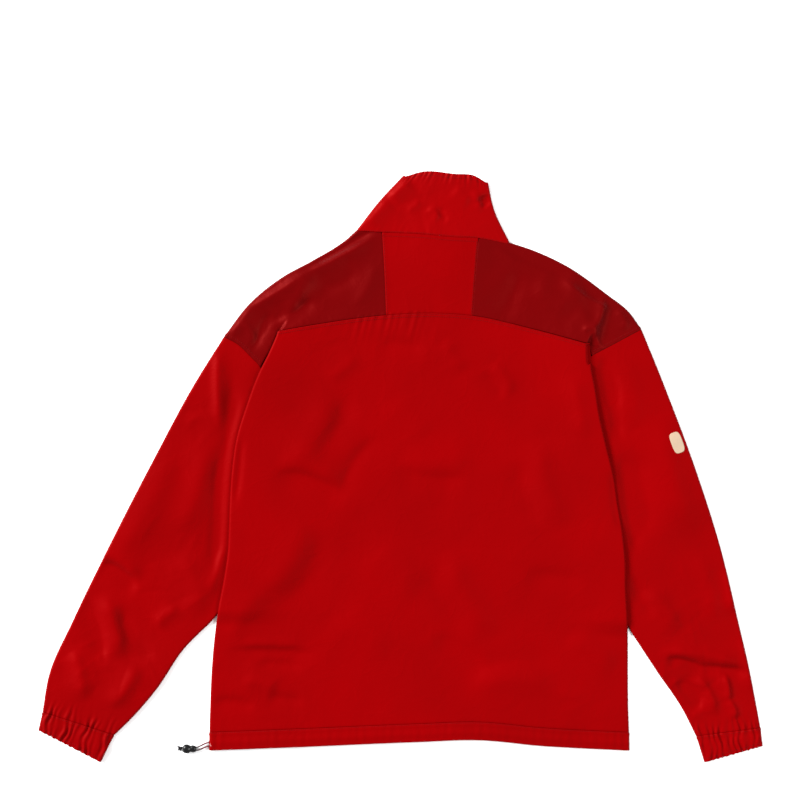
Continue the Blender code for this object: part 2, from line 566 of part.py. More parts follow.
def make_collar(material):
    """Stand collar: front left half, turn, back, turn, front right half, open at the zip."""
    rows = np.linspace(0.0, 1.0, 6)
    back_shares = np.concatenate(([0.0], yoke_shares(), [1.0]))
    sides, slots = {}, {}
    for side, line, sign in (("left", COLLAR_LEFT, 1.0), ("right", COLLAR_RIGHT, -1.0)):
        edge = along(line, rows)
        normals = inward(edge, (ZIP_TOP[0], edge[2, 1]))
        normals[0] = neck_normal(side)
        sides[side] = (edge, normals, edge + normals * EDGE)
        end = 0.0 if side == "left" else 1.0
        depth = FRONT_YOKE_DEPTH * sign
        neck_shares = np.concatenate((end + depth * FRONT_YOKE_ROWS,
                                      np.linspace(end + depth, neck_share(ZIP_NECK[0] - sign * ZIP_SLOT), 4)[1:]))
        bottom = neck_edge(FRONT_NECK, neck_shares)
        upper_line = along(COLLAR_FRONT_TOP, np.linspace(0.0, 1.0, 200))
        slot_top = np.array((ZIP_TOP[0] - sign * ZIP_SLOT, ZIP_TOP[1] + 1.0))
        half = upper_line[upper_line[:, 0] * sign < slot_top[0] * sign]
        half = half if side == "left" else half[::-1]
        top = between(along(half[:: 12], shares(bottom)), sides[side][2][-1], slot_top)
        slot = bottom[-1] + rows[:, None] * (slot_top - bottom[-1])
        slots[side] = with_height(coons(bottom, top, sides[side][2], slot), front_height)
    bottom = neck_edge(NECK_SEAM, back_shares)
    top = between(along(COLLAR_TOP, shares(bottom)), sides["left"][2][-1], sides["right"][2][-1])
    upper = with_height(coons(bottom, top, sides["left"][2], sides["right"][2]), top_height)
    upper[..., 2] += COLLAR_LOFT * np.sin(math.pi * shares(bottom))[None] * np.sin(math.pi / 2 * rows)[:, None]
    turns = {side: np.swapaxes(turn(edge, normals, front_height(edge[:, 0], edge[:, 1])), 0, 1)
             for side, (edge, normals, flat) in sides.items()}
    grid = np.concatenate((slots["left"][:, ::-1], turns["left"][:, 1:], upper[:, 1:-1],
                           turns["right"][:, ::-1], slots["right"][:, 1:]), axis=1)
    return cloth("collar", shrink(grid, first_row=COLLAR_INSET, last_row=0.0), material)


def make_zip_tape(side, sign, material):
    """Half of the zip's tape, in the opening of the front and the collar."""
    rows = np.concatenate((np.linspace(ZIP_BOTTOM[1] + SEAM_GAP, ZIP_NECK[1], 5),
                           np.linspace(ZIP_NECK[1], ZIP_TOP[1], 6)[1:]))
    edges = -sign * np.array((ZIP_SLOT - SEAM_GAP, TAPE_INNER))
    x = zip_x(rows)[:, None] + edges[None]
    y = np.broadcast_to(rows[:, None], x.shape)
    grid = np.stack((x, y, front_height(x, y)), axis=-1)
    return cloth(f"zip_tape_{side}", grid, material, wall=TAPE_WALL)


def block(name, centre, size, material=None, keep=True):
    """Box at a centre, in millimetres; one that only joins or cuts another goes to the cutters."""
    body = bmesh.new()
    bmesh.ops.create_cube(body, size=1.0)
    bmesh.ops.scale(body, vec=Vector(size) * MM, verts=body.verts[:])
    bmesh.ops.translate(body, vec=Vector(centre) * MM, verts=body.verts[:])
    return finished(name, body, material) if keep else guide(name, body)


def rod(name, centre, radius, length, axis, sides=20):
    """Cylinder guide along an axis through a centre."""
    body = bmesh.new()
    bmesh.ops.create_cone(body, cap_ends=True, segments=sides, radius1=radius * MM, radius2=radius * MM,
                          depth=length * MM)
    lie = Vector((0, 0, 1)).rotation_difference(Vector(axis)).to_matrix().to_4x4()
    bmesh.ops.transform(body, matrix=Matrix.Translation(Vector(centre) * MM) @ lie, verts=body.verts[:])
    return guide(name, body)


def guide(name, body):
    mesh = bpy.data.meshes.new(name)
    body.to_mesh(mesh)
    body.free()
    piece = bpy.data.objects.new(name, mesh)
    piece.hide_render = True
    piece.display_type = "WIRE"
    CUTTERS.objects.link(piece)
    return piece


def combine(piece, other, operation):
    boolean = piece.modifiers.new(other.name, "BOOLEAN")
    boolean.object = other
    boolean.operation = operation
    boolean.solver = "EXACT"


def slider_levels():
    """Heights at the slider: the tape's middle, the outer plate's middle and the pull's pivot."""
    tape = float(front_height(zip_x(SLIDER_AT), SLIDER_AT))
    plate = tape - TAPE_WALL / 2 - SLIDER_CLEAR - SLIDER_PLATE / 2
    return tape, plate, plate - SLIDER_PLATE / 2 - CROWN_ROOM / 2


def make_slider(material):
    """Zip slider: two plates joined through the tapes' gap, with the crown that holds the pull below."""
    tape, plate, pivot = slider_levels()
    x, y = float(zip_x(SLIDER_AT)), SLIDER_AT
    slider = block("zip_slider", (x, y, plate), (SLIDER_WIDTH, SLIDER_LENGTH, SLIDER_PLATE), material)
    inner = 2 * tape - plate
    crown = plate - SLIDER_PLATE / 2 - CROWN_ROOM - CROWN_BAR / 2
    post_run = (CROWN_LENGTH - CROWN_BAR) / 2
    combine(slider, block("slider_inner", (x, y, inner), (SLIDER_WIDTH, SLIDER_LENGTH, SLIDER_PLATE),
                          keep=False), "UNION")
    combine(slider, block("slider_neck", (x, y + 1.0, tape), (0.9, 2.4, inner - plate),
                          keep=False), "UNION")
    combine(slider, block("slider_crown", (x, y, crown), (CROWN_WIDTH, CROWN_LENGTH, CROWN_BAR),
                          keep=False), "UNION")
    for name, step in (("slider_post_upper", post_run), ("slider_post_lower", -post_run)):
        combine(slider, block(name, (x, y + step, pivot), (CROWN_WIDTH, CROWN_BAR, CROWN_ROOM + 0.6),
                              keep=False), "UNION")
    return slider


def make_pull(material):
    """Zip pull: a flat tab whose window passes over the crown; its end bar turns under the crown."""
    pivot = slider_levels()[2]
    x, y = float(zip_x(SLIDER_AT)), SLIDER_AT
    pull = block("zip_pull", (0.0, PULL_BAR_R - PULL_LENGTH / 2, 0.0), (PULL_WIDTH, PULL_LENGTH, PULL_WALL),
                 material)
    pull.location = Vector((x, y, pivot)) * MM
    arm = (PULL_WIDTH - CROWN_WIDTH) / 2 - PULL_ROOM
    window = block("pull_window", (0.0, 1.0 - PULL_WINDOW / 2, 0.0),
                   (PULL_WIDTH - 2 * arm, PULL_WINDOW + 2.0, 4.0), keep=False)
    bar = rod("pull_bar", (0.0, 0.0, 0.0), PULL_BAR_R, PULL_WIDTH - arm, (1, 0, 0))
    eye = rod("pull_eye", (0.0, PULL_EYE_R * 2.5 - PULL_LENGTH, 0.0), PULL_EYE_R, 4.0, (0, 0, 1))
    for other in (window, bar, eye):
        other.parent = pull
    combine(pull, window, "DIFFERENCE")
    combine(pull, bar, "UNION")
    combine(pull, eye, "DIFFERENCE")
    return pull


def make_cord(name, route, material):
    """Round drawcord along a smooth line through its route."""
    points = along(route, np.linspace(0.0, 1.0, CORD_POINTS)) * MM
    curve = bpy.data.curves.new(name, "CURVE")
    curve.dimensions = "3D"
    spline = curve.splines.new("POLY")
    spline.points.add(len(points) - 1)
    for point, place in zip(spline.points, points):
        point.co = (*place, 1.0)
    curve.bevel_depth = CORD_R * MM
    curve.bevel_resolution = 2
    curve.use_fill_caps = True
    curve.materials.append(material)
    cord = bpy.data.objects.new(name, curve)
    PART.objects.link(cord)
    return cord


def make_toggle(material):
    """Cord stopper: a flattened two-lobed body turned about its length, with two bores for the cords."""
    body = bmesh.new()
    ring = [body.verts.new((x * MM, radius * MM, 0.0)) for x, radius in TOGGLE_PROFILE]
    for first, second in zip(ring, ring[1:]):
        body.edges.new((first, second))
    bmesh.ops.spin(body, geom=body.verts[:] + body.edges[:], cent=(0, 0, 0), axis=(1, 0, 0),
                   angle=2 * math.pi, steps=24)
    bmesh.ops.remove_doubles(body, verts=body.verts[:], dist=0.00001)
    bmesh.ops.recalc_face_normals(body, faces=body.faces[:])
    bmesh.ops.scale(body, vec=(1.0, 1.0, TOGGLE_FLAT), verts=body.verts[:])
    bmesh.ops.translate(body, vec=Vector(TOGGLE_CENTRE) * MM, verts=body.verts[:])
    toggle = finished("cord_toggle", body, material)
    x, y, z = TOGGLE_CENTRE
    for name, step in (("bore_upper", TOGGLE_BORE_STEP), ("bore_lower", -TOGGLE_BORE_STEP)):
        combine(toggle, rod(name, (x, y + step, z), TOGGLE_BORE_R, 40.0, (1, 0, 0)), "DIFFERENCE")
    return toggle


def make_knot(material):
    """Knot that ties the two cords' ends: a small lump past the toggle."""
    body = bmesh.new()
    bmesh.ops.create_icosphere(body, subdivisions=2, radius=MM)
    bmesh.ops.scale(body, vec=Vector(KNOT_SIZE), verts=body.verts[:])
    bmesh.ops.translate(body, vec=Vector(KNOT_CENTRE) * MM, verts=body.verts[:])
    return finished("cord_knot", body, material)


def make_material(name):
    colour, roughness, metallic = COLOURS[name]
    material = bpy.data.materials.new(name)
    material.use_nodes = True
    shader = material.node_tree.nodes["Principled BSDF"]
    shader.inputs["Base Color"].default_value = (*colour, 1.0)
    shader.inputs["Roughness"].default_value = roughness
    shader.inputs["Metallic"].default_value = metallic
    return material


def make_collection(name):
    collection = bpy.data.collections.new(name)
    bpy.context.scene.collection.children.link(collection)
    return collection


for old in list(bpy.data.objects):
    bpy.data.objects.remove(old, do_unlink=True)
PART = make_collection("anorak_pullover")
CUTTERS = make_collection("cutters")


def main():
    finishes = {name: make_material(name) for name in COLOURS}
    red, dark = finishes["red_shell"], finishes["dark_shell"]
    make_front(red)
    make_back(red)
    make_yoke(red)
    make_collar(red)
    make_hem(red)
    for side, sign in (("left", 1.0), ("right", -1.0)):
        make_shoulder(side, dark)
        make_sleeve(side, red)
        make_cuff(side, red)
        make_zip_tape(side, sign, finishes["zip_tape"])
    make_slider(finishes["zip_metal"])
    make_pull(finishes["zip_metal"])
    make_cord("hem_cord_upper", CORD_UPPER, finishes["cord"])
    make_cord("hem_cord_lower", CORD_LOWER, finishes["cord"])
    make_toggle(finishes["toggle"])
    make_knot(finishes["cord"])


main()
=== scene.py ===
"""Anorak pullover laid flat on its front, back side up: its cloth, trims, finishes and stage.

Each cloth piece is the outer face of the garment, worked out on a grid of points from the same outlines
as the solid that it stands for, and thickened inwards. Folds, gathers and seams are heights added to it.
Lengths in the tables and functions are millimetres; meshes are in metres.
"""

import math

import bpy
import numpy as np
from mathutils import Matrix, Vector


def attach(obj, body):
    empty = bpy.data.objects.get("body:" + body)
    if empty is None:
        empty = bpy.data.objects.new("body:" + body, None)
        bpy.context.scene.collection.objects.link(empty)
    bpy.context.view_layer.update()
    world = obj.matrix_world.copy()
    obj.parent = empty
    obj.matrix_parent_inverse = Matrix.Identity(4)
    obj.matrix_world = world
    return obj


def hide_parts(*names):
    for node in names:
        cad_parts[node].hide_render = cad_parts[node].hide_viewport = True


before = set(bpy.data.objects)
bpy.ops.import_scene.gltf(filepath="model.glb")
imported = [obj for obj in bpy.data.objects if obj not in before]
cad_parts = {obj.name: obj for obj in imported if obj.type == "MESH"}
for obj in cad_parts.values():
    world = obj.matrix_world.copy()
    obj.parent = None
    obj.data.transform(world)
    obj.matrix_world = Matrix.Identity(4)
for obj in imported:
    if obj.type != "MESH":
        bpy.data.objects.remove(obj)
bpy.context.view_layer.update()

bl_info = {
    "name": "Anorak pullover, laid flat",
    "version": (1, 0, 0),
    "blender": (4, 5, 0),
    "location": "View3D > Sidebar > Anorak",
    "description": "Makes the cloth, trims and stage of an anorak pullover laid flat",
    "category": "Object",
}

MM = 0.001

# Layers, by the outer face of the cloth
TURN_R = 3.0                                # where a layer turns over at a silhouette
TOP = 6.0                                   # upper layer over the floor
SLEEVE_LIFT = 6.3                           # a rolled side lies this much higher, on the sleeve
SEAM_GAP = 0.08
ARC = np.radians(np.linspace(0.0, 180.0, 11))
ROLL_SPREAD, STRIP_SPREAD = 60.0, 1.65
LOFT_X, LOFT_Y = 52.0, 282.0
FRONT_LOFT, FRONT_SPREAD = 4.8, 50.0
BACK_LOFT, BACK_SPREAD = 4.4, 62.0
COLLAR_LOFT = 3.0

# Body sides, hem seam to back seam: level y, rolled edge x, hidden side seam or armhole edge x
BODY_SIDE = {
    "left": ((-358.0, -258.2, -251.5), (-320.0, -257.0, -249.5), (-280.0, -255.4, -247.0),
             (-245.0, -252.8, -238.0), (-215.0, -249.4, -226.0), (-192.0, -245.9, -212.5),
             (-150.0, -238.0, -187.0), (-115.0, -233.0, -167.0), (-83.0, -231.4, -151.5),
             (-51.3, -230.4, -152.5), (-5.0, -227.4, -156.5), (40.0, -220.8, -164.6), (85.0, -207.0, -177.5),
             (125.0, -192.0, -181.5), (158.0, -175.8, -169.0), (184.3, -164.7, -158.7)),
    "right": ((-358.0, 308.9, 302.5), (-325.0, 307.6, 300.0), (-290.0, 307.2, 298.0), (-260.0, 307.1, 294.0),
              (-232.0, 307.0, 286.0), (-204.0, 306.2, 274.5), (-165.0, 304.1, 257.0), (-125.0, 303.4, 241.0),
              (-88.0, 299.5, 232.0), (-51.3, 293.0, 228.8), (-10.0, 287.0, 231.0), (30.0, 277.5, 236.5),
              (70.0, 268.5, 243.0), (105.0, 263.0, 247.5), (138.0, 257.0, 249.5), (166.1, 255.8, 249.8)),
}
SLEEVE_GAIN = 2.2
FOLD_GAIN = 1.6                             # height of a fold over its figure in the tables
DEEPEST = 2.8                               # the upper layer's deepest trough
UNDERARM_Y = -51.3
UNDER_RAMP = 5.0
LIFT_LEVELS = {"left": (-215.0, -192.0, 184.3, 225.0), "right": (-232.0, -204.0, 166.1, 228.0)}
PLEAT = {"left": ((198.5, -155.9), (225.0, -137.0)), "right": ((187.7, 263.1), (228.0, 275.0))}

# Edges and seams, x, y
BACK_SEAM = ((-164.7, 184.3), (-108.7, 193.7), (-19.7, 205.2), (39.8, 207.9), (97.3, 204.5), (182.7, 185.8),
             (255.8, 166.1))
HEM_EDGE = ((-258.7, -382.8), (-134.3, -378.0), (26.3, -371.2), (104.6, -368.8), (189.7, -376.5),
            (309.4, -382.8))
HEM_DEPTH = 25.0
NECK_SEAM = ((-58.5, 320.6), (-26.6, 318.9), (25.0, 316.7), (73.3, 312.4), (106.5, 310.8), (147.3, 303.3))
FRONT_NECK = ((-58.5, 320.6), (-46.0, 280.0), (-12.0, 243.0), (44.0, 222.0), (98.0, 236.0), (134.0, 266.0),
              (147.3, 303.3))
COLLAR_TOP = ((4.5, 394.4), (30.2, 400.6), (73.3, 397.0), (102.6, 394.0), (118.1, 384.8))
COLLAR_FRONT_TOP = ((4.5, 394.4), (27.0, 335.0), (52.0, 302.0), (84.0, 330.0), (118.1, 384.8))
COLLAR_SIDE = {"left": ((-58.5, 320.6), (-28.4, 359.4), (4.5, 394.4)),
               "right": ((147.3, 303.3), (126.6, 347.4), (118.1, 384.8))}
SHOULDER = {"left": ((-58.5, 320.6), (-73.7, 307.0), (-119.5, 278.5), (-157.3, 257.9), (-204.5, 220.1),
                     (-238.4, 176.2)),
            "right": ((147.3, 303.3), (171.2, 295.7), (222.3, 272.8), (279.2, 233.0), (307.7, 210.3),
                      (325.6, 185.8))}
ARMHOLE = {"left": ((-238.4, 176.2), (-221.4, 166.7), (-204.4, 150.7), (-190.5, 136.0), (-178.9, 90.0),
                    (-164.0, 36.5), (-155.9, -51.3)),
           "right": ((325.6, 185.8), (296.3, 170.1), (269.3, 155.9), (260.0, 151.1), (246.4, 90.0),
                     (238.3, 23.0), (228.8, -51.3))}
ARMHOLE_SHOWN = 3
SLEEVE_OUTER = {"left": ((-238.4, 176.2), (-276.1, 116.1), (-340.9, -4.1), (-396.2, -112.1),
                         (-442.1, -206.6), (-475.2, -282.2), (-483.6, -330.8)),
                "right": ((325.6, 185.8), (354.4, 114.8), (398.9, -4.1), (432.0, -108.0), (453.0, -195.0),
                          (471.8, -276.8), (486.2, -352.0))}
SLEEVE_INNER = {"left": ((-155.9, -51.3), (-200.5, -125.6), (-246.4, -198.5), (-293.6, -247.1),
                         (-330.1, -301.1), (-370.6, -347.0), (-387.0, -362.5)),
                "right": ((228.8, -51.3), (255.8, -118.8), (292.3, -190.4), (344.9, -274.1),
                          (381.4, -328.1), (399.5, -364.0))}
CUFF_END = {"left": ((-489.3, -356.0), (-404.7, -398.8)), "right": ((489.3, -377.0), (410.5, -399.1))}
YOKE_SIDE = {"left": ((-26.3, 319.1), (-22.8, 268.1), (-19.7, 205.2)),
             "right": ((106.5, 310.8), (102.0, 262.0), (97.3, 204.5))}
FRONT_YOKE_DEPTH = 0.19

# Folds: start x, y, end x, y, bend (mm the middle bows to the left of its run), height, half width, skew
# (how much wider the side to the right of its run is than the other). A trough has a negative height.
BODY_FOLDS = (
    (-26.0, 168.0, 30.0, 160.0, 2.0, -1.3, 9.0, 0.2), (-92.0, 88.0, -138.0, 8.0, 6.0, 2.6, 20.0, 0.3),
    (-70.0, 96.0, -112.0, 20.0, 5.0, -1.6, 13.0, 0.0), (-165.0, -10.0, -78.0, -40.0, 8.0, -2.3, 10.0, 0.4),
    (-160.0, 10.0, -84.0, -18.0, 6.0, 1.8, 15.0, -0.3), (-78.0, -42.0, -34.0, 38.0, 10.0, -1.5, 10.0, 0.2),
    (-4.0, -6.0, 84.0, -16.0, -5.0, -1.5, 12.0, 0.4), (6.0, 16.0, 92.0, 6.0, -6.0, 1.2, 16.0, 0.0),
    (122.0, 138.0, 150.0, 100.0, 4.0, 1.5, 9.0, 0.2), (112.0, 126.0, 138.0, 94.0, 4.0, -1.1, 8.0, 0.0),
    (186.0, 30.0, 216.0, -74.0, -8.0, 2.4, 20.0, 0.3), (160.0, 6.0, 186.0, -74.0, -6.0, -1.6, 15.0, 0.0),
    (-132.0, -74.0, -186.0, -170.0, 10.0, 2.4, 22.0, 0.2),
    (-106.0, -92.0, -160.0, -186.0, 10.0, -1.6, 16.0, 0.0),
    (-186.0, -168.0, -232.0, -236.0, -6.0, 2.2, 18.0, 0.2),
    (172.0, -150.0, 244.0, -156.0, 5.0, -1.4, 12.0, 0.3),
    (66.0, -122.0, 122.0, -222.0, -8.0, 2.2, 20.0, 0.2), (40.0, -140.0, 92.0, -226.0, -6.0, -1.4, 16.0, 0.0),
    (48.0, -232.0, 110.0, -276.0, 6.0, -2.0, 14.0, 0.3),
    (104.0, -272.0, 206.0, -266.0, 10.0, -2.0, 14.0, -0.3),
    (100.0, -296.0, 206.0, -292.0, 8.0, 1.5, 16.0, 0.0),
    (-226.0, -249.0, -120.0, -252.0, 3.0, -1.7, 7.0, 0.5),
    (-216.0, -240.0, -136.0, -242.0, 2.0, 1.2, 8.0, 0.0),
    (-192.0, -266.0, -134.0, -269.0, 2.0, -1.2, 6.0, 0.3),
    (-252.0, -318.0, -200.0, -323.0, 3.0, -1.7, 7.0, 0.2),
    (-178.0, -312.0, -134.0, -318.0, 3.0, -1.4, 7.0, 0.2),
    (-212.0, -288.0, -168.0, -300.0, 3.0, 1.4, 9.0, 0.0), (-40.0, -120.0, 20.0, -170.0, 10.0, 1.2, 26.0, 0.0),
    (-90.0, -210.0, -20.0, -250.0, 8.0, 1.2, 24.0, 0.0), (230.0, 120.0, 246.0, 40.0, 4.0, 1.6, 12.0, 0.0),
    (-214.0, 38.0, -223.0, -48.0, 1.0, -1.4, 4.0, 0.2), (288.0, -2.0, 296.0, -84.0, -3.0, -1.6, 4.5, -0.2),
    (-60.0, 150.0, -98.0, 120.0, 3.0, 1.2, 10.0, 0.2), (60.0, 168.0, 86.0, 132.0, -3.0, 1.2, 10.0, 0.1),
    (230.0, -230.0, 288.0, -268.0, 4.0, 1.5, 14.0, 0.2), (-6.0, 90.0, 30.0, 40.0, 6.0, 1.0, 22.0, 0.0),
)
SHOULDER_FOLDS = (
    (-38.0, 308.0, -129.0, 260.0, 1.0, 2.3, 6.5, -0.4), (-129.0, 260.0, -206.0, 212.0, 1.0, 2.6, 7.5, -0.4),
    (-40.0, 318.0, -116.0, 276.0, 0.0, -2.6, 4.5, 0.0), (-200.0, 214.0, -230.0, 176.0, 0.0, 1.6, 6.0, -0.2),
    (-122.0, 262.0, -153.0, 209.0, 2.0, 2.6, 14.0, 0.4), (-120.0, 224.0, -168.0, 190.0, 2.0, -2.6, 8.0, 0.0),
    (-60.0, 262.0, -112.0, 240.0, 4.0, -1.5, 10.0, 0.2), (-34.0, 272.0, -60.0, 218.0, 3.0, 1.2, 9.0, 0.0),
    (-176.0, 206.0, -200.0, 160.0, 0.0, -2.2, 6.0, 0.0), (-212.0, 196.0, -196.0, 166.0, 2.0, 1.5, 6.0, 0.0),
    (132.0, 291.0, 220.0, 252.0, -3.0, 2.3, 6.5, 0.3), (220.0, 252.0, 282.0, 210.0, -3.0, 2.2, 6.5, 0.3),
    (162.0, 262.0, 136.0, 198.0, 2.0, -2.0, 13.0, 0.0), (228.0, 266.0, 253.0, 182.0, -3.0, 2.2, 16.0, 0.5),
    (140.0, 286.0, 224.0, 250.0, -2.0, -1.6, 7.0, 0.0), (274.0, 228.0, 263.0, 186.0, 3.0, 2.2, 5.0, 0.3),
    (263.0, 188.0, 270.0, 160.0, -2.0, 1.9, 5.0, 0.2), (246.0, 184.0, 266.0, 190.0, 1.0, 1.6, 4.0, 0.0),
    (182.0, 246.0, 232.0, 214.0, -6.0, 1.9, 16.0, 0.2), (126.0, 262.0, 176.0, 222.0, 5.0, 1.2, 16.0, 0.0),
    (292.0, 212.0, 306.0, 186.0, 2.0, 1.6, 6.0, 0.2),
)
SLEEVE_FOLDS = (
    (-246.0, 158.0, -244.0, 60.0, -2.0, 2.2, 6.5, -0.4), (-229.0, 116.0, -236.0, -40.0, 3.0, -2.6, 8.0, 0.0),
    (-312.0, 22.0, -386.0, -122.0, 8.0, 2.6, 24.0, 0.2), (-262.0, 30.0, -300.0, -90.0, 6.0, 1.8, 18.0, 0.2),
    (-406.0, -128.0, -358.0, -164.0, 5.0, -2.3, 9.0, 0.3),
    (-412.0, -116.0, -352.0, -148.0, 5.0, 1.6, 10.0, 0.0),
    (-425.0, -180.0, -402.0, -262.0, 5.0, -2.3, 9.0, 0.4),
    (-400.0, -176.0, -378.0, -252.0, 4.0, 2.3, 12.0, 0.2),
    (-378.0, -194.0, -340.0, -258.0, -5.0, -1.9, 9.0, 0.2),
    (-442.0, -246.0, -428.0, -310.0, 3.0, 1.8, 10.0, 0.0),
    (-356.0, -270.0, -392.0, -322.0, 4.0, 2.0, 11.0, 0.2),
    (-330.0, -214.0, -300.0, -190.0, 3.0, 1.5, 9.0, 0.0),
    (-298.0, -120.0, -270.0, -196.0, 6.0, 1.6, 16.0, 0.2),
    (-236.0, -110.0, -262.0, -168.0, 4.0, 1.4, 10.0, 0.0),
    (272.0, 144.0, 290.0, 84.0, 3.0, -2.4, 7.0, 0.4), (300.0, 150.0, 318.0, 60.0, 4.0, 0.9, 16.0, 0.2),
    (-243.0, 20.0, -253.0, -150.0, 2.0, -2.2, 9.0, 0.0), (300.0, 10.0, 318.0, -110.0, -3.0, -2.2, 9.0, 0.0),
    (284.0, 130.0, 296.0, 40.0, -2.0, -2.0, 8.0, 0.0),
    (352.0, 62.0, 392.0, -82.0, -6.0, 2.4, 22.0, 0.2), (314.0, 20.0, 330.0, -90.0, 5.0, -1.5, 14.0, 0.0),
    (361.0, -259.0, 406.0, -271.0, 3.0, -2.4, 6.0, 0.5), (404.0, -270.0, 466.0, -277.0, 2.0, -2.1, 6.0, 0.5),
    (358.0, -249.0, 462.0, -265.0, 3.0, 2.0, 9.0, 0.2), (437.0, -280.0, 443.0, -316.0, 2.0, 2.0, 5.0, 0.3),
    (443.0, -315.0, 453.0, -338.0, 2.0, 1.8, 5.0, 0.2), (378.0, -288.0, 404.0, -326.0, 4.0, -2.0, 7.0, 0.2),
    (402.0, -284.0, 426.0, -330.0, 3.0, 1.8, 7.0, 0.2), (440.0, -139.0, 448.0, -194.0, 1.0, 2.0, 4.0, 0.5),
    (330.0, -170.0, 372.0, -218.0, 6.0, 1.8, 14.0, 0.2), (400.0, -120.0, 424.0, -204.0, 6.0, 1.5, 14.0, 0.0),
    (300.0, -150.0, 340.0, -200.0, 4.0, -1.3, 9.0, 0.0), (462.0, -232.0, 474.0, -300.0, 2.0, 1.6, 6.0, 0.3),
)
COLLAR_FOLDS = (
    (-46.0, 326.0, -14.0, 362.0, 0.0, 2.6, 9.0, 0.4), (-14.0, 362.0, 12.0, 386.0, 0.0, 2.8, 8.0, 0.4),
    (108.0, 364.0, 116.0, 352.0, 3.0, -2.8, 6.0, 0.0), (98.0, 372.0, 108.0, 346.0, 2.0, 1.5, 6.0, 0.0),
    (36.0, 348.0, 52.0, 336.0, 3.0, 1.1, 4.0, 0.2), (52.0, 350.0, 60.0, 330.0, 2.0, -0.9, 4.0, 0.0),
    (10.0, 344.0, 28.0, 356.0, 2.0, 0.9, 5.0, 0.0), (70.0, 372.0, 92.0, 356.0, 3.0, 1.0, 7.0, 0.0),
)
# Folds of the hidden side lift the cloth off the floor
FRONT_FOLDS = (
    (-190.0, -280.0, -60.0, -250.0, 10.0, 1.4, 20.0, 0.2),
    (60.0, -300.0, 210.0, -240.0, -12.0, 1.5, 22.0, 0.0),
    (-140.0, -120.0, -90.0, -200.0, 8.0, 1.3, 18.0, 0.2), (120.0, -60.0, 180.0, -150.0, -8.0, 1.4, 18.0, 0.2),
    (-100.0, 60.0, -20.0, 0.0, 8.0, 1.3, 16.0, 0.0), (120.0, 80.0, 190.0, 20.0, -6.0, 1.3, 16.0, 0.1),
    (-130.0, 160.0, -70.0, 120.0, 5.0, 1.2, 12.0, 0.0), (150.0, 170.0, 200.0, 110.0, 4.0, 1.2, 12.0, 0.0),
    (-40.0, -60.0, 90.0, -90.0, 8.0, 1.1, 24.0, 0.0), (-20.0, -330.0, 60.0, -318.0, 4.0, 1.1, 12.0, 0.0),
    (-330.0, 0.0, -380.0, -110.0, 6.0, 1.4, 16.0, 0.0), (-300.0, -150.0, -350.0, -240.0, 5.0, 1.3, 14.0, 0.0),
    (-400.0, -200.0, -440.0, -290.0, 5.0, 1.4, 12.0, 0.0), (350.0, 50.0, 390.0, -60.0, 6.0, 1.4, 16.0, 0.0),
    (340.0, -160.0, 400.0, -250.0, 6.0, 1.3, 14.0, 0.0), (420.0, -200.0, 446.0, -300.0, 4.0, 1.4, 12.0, 0.0),
)
# Areas of small sharp crinkles: centre x, y, radius, number, height, seed
CRINKLES = (
    (45.0, 350.0, 60.0, 46, 0.55, 3), (405.0, -290.0, 62.0, 46, 0.75, 5), (400.0, -180.0, 70.0, 26, 0.5, 7),
    (-385.0, -250.0, 70.0, 34, 0.7, 9), (-330.0, -120.0, 80.0, 20, 0.5, 11),
    (-20.0, 150.0, 90.0, 26, 0.4, 13),
    (-190.0, -280.0, 80.0, 26, 0.5, 15), (200.0, 225.0, 80.0, 24, 0.5, 17),
    (-120.0, 235.0, 80.0, 22, 0.5, 19),
    (150.0, -100.0, 150.0, 26, 0.4, 21), (-80.0, -60.0, 150.0, 24, 0.4, 23),
    (240.0, -320.0, 70.0, 22, 0.5, 25),
    (290.0, 40.0, 60.0, 12, 0.5, 27), (-270.0, 60.0, 60.0, 14, 0.5, 29),
)

# Seams and gathers
SEAM_DIP = 0.22
ALLOWANCE, ALLOWANCE_RISE = 4.6, 0.4
STITCH_FROM_SEAM = 4.9
CUFF_PITCH, CUFF_GATHER = 8.5, 1.9
CUFF_GATHER_FADE = 14.0                     # above the cuff's seam
CUFF_SEED = {"left": 71, "right": 73}
YOKE_GATHERED = (-92.0, 58.0)               # stretch of the back seam that is gathered
YOKE_GATHER_EASE, YOKE_GATHER_PITCH, YOKE_GATHER_DEPTH, YOKE_GATHER_SEED = 40.0, 11.0, 26.0, 61
WAVES, WAVE_SHORTEST, WAVE_LONGEST = 9, 48.0, 210.0    # slow unevenness of the cloth
WAVE_STEEPNESS, WAVE_SEED = 700, 41         # a wave's length over its height
CRINKLE_SHARE = 0.6
PLEAT_EASE, PLEAT_RISE = 19.0, 18.0
FRONT_FOLD_CUT = 0.1                        # a fold's low foot stays on the floor
YOKE_GATHER = 0.75
HEM_PUFF, CUFF_PUFF = 0.9, 1.0

# Hidden half-zip
ZIP_LINE = ((44.0, 75.0), (44.0, 222.0), (52.0, 301.0))
ZIP_SLOT = 6.0
TOOTH_PITCH, TOOTH_REACH, TOOTH_INNER = 1.7, 2.5, 0.85
SLIDER_Y = 289.0

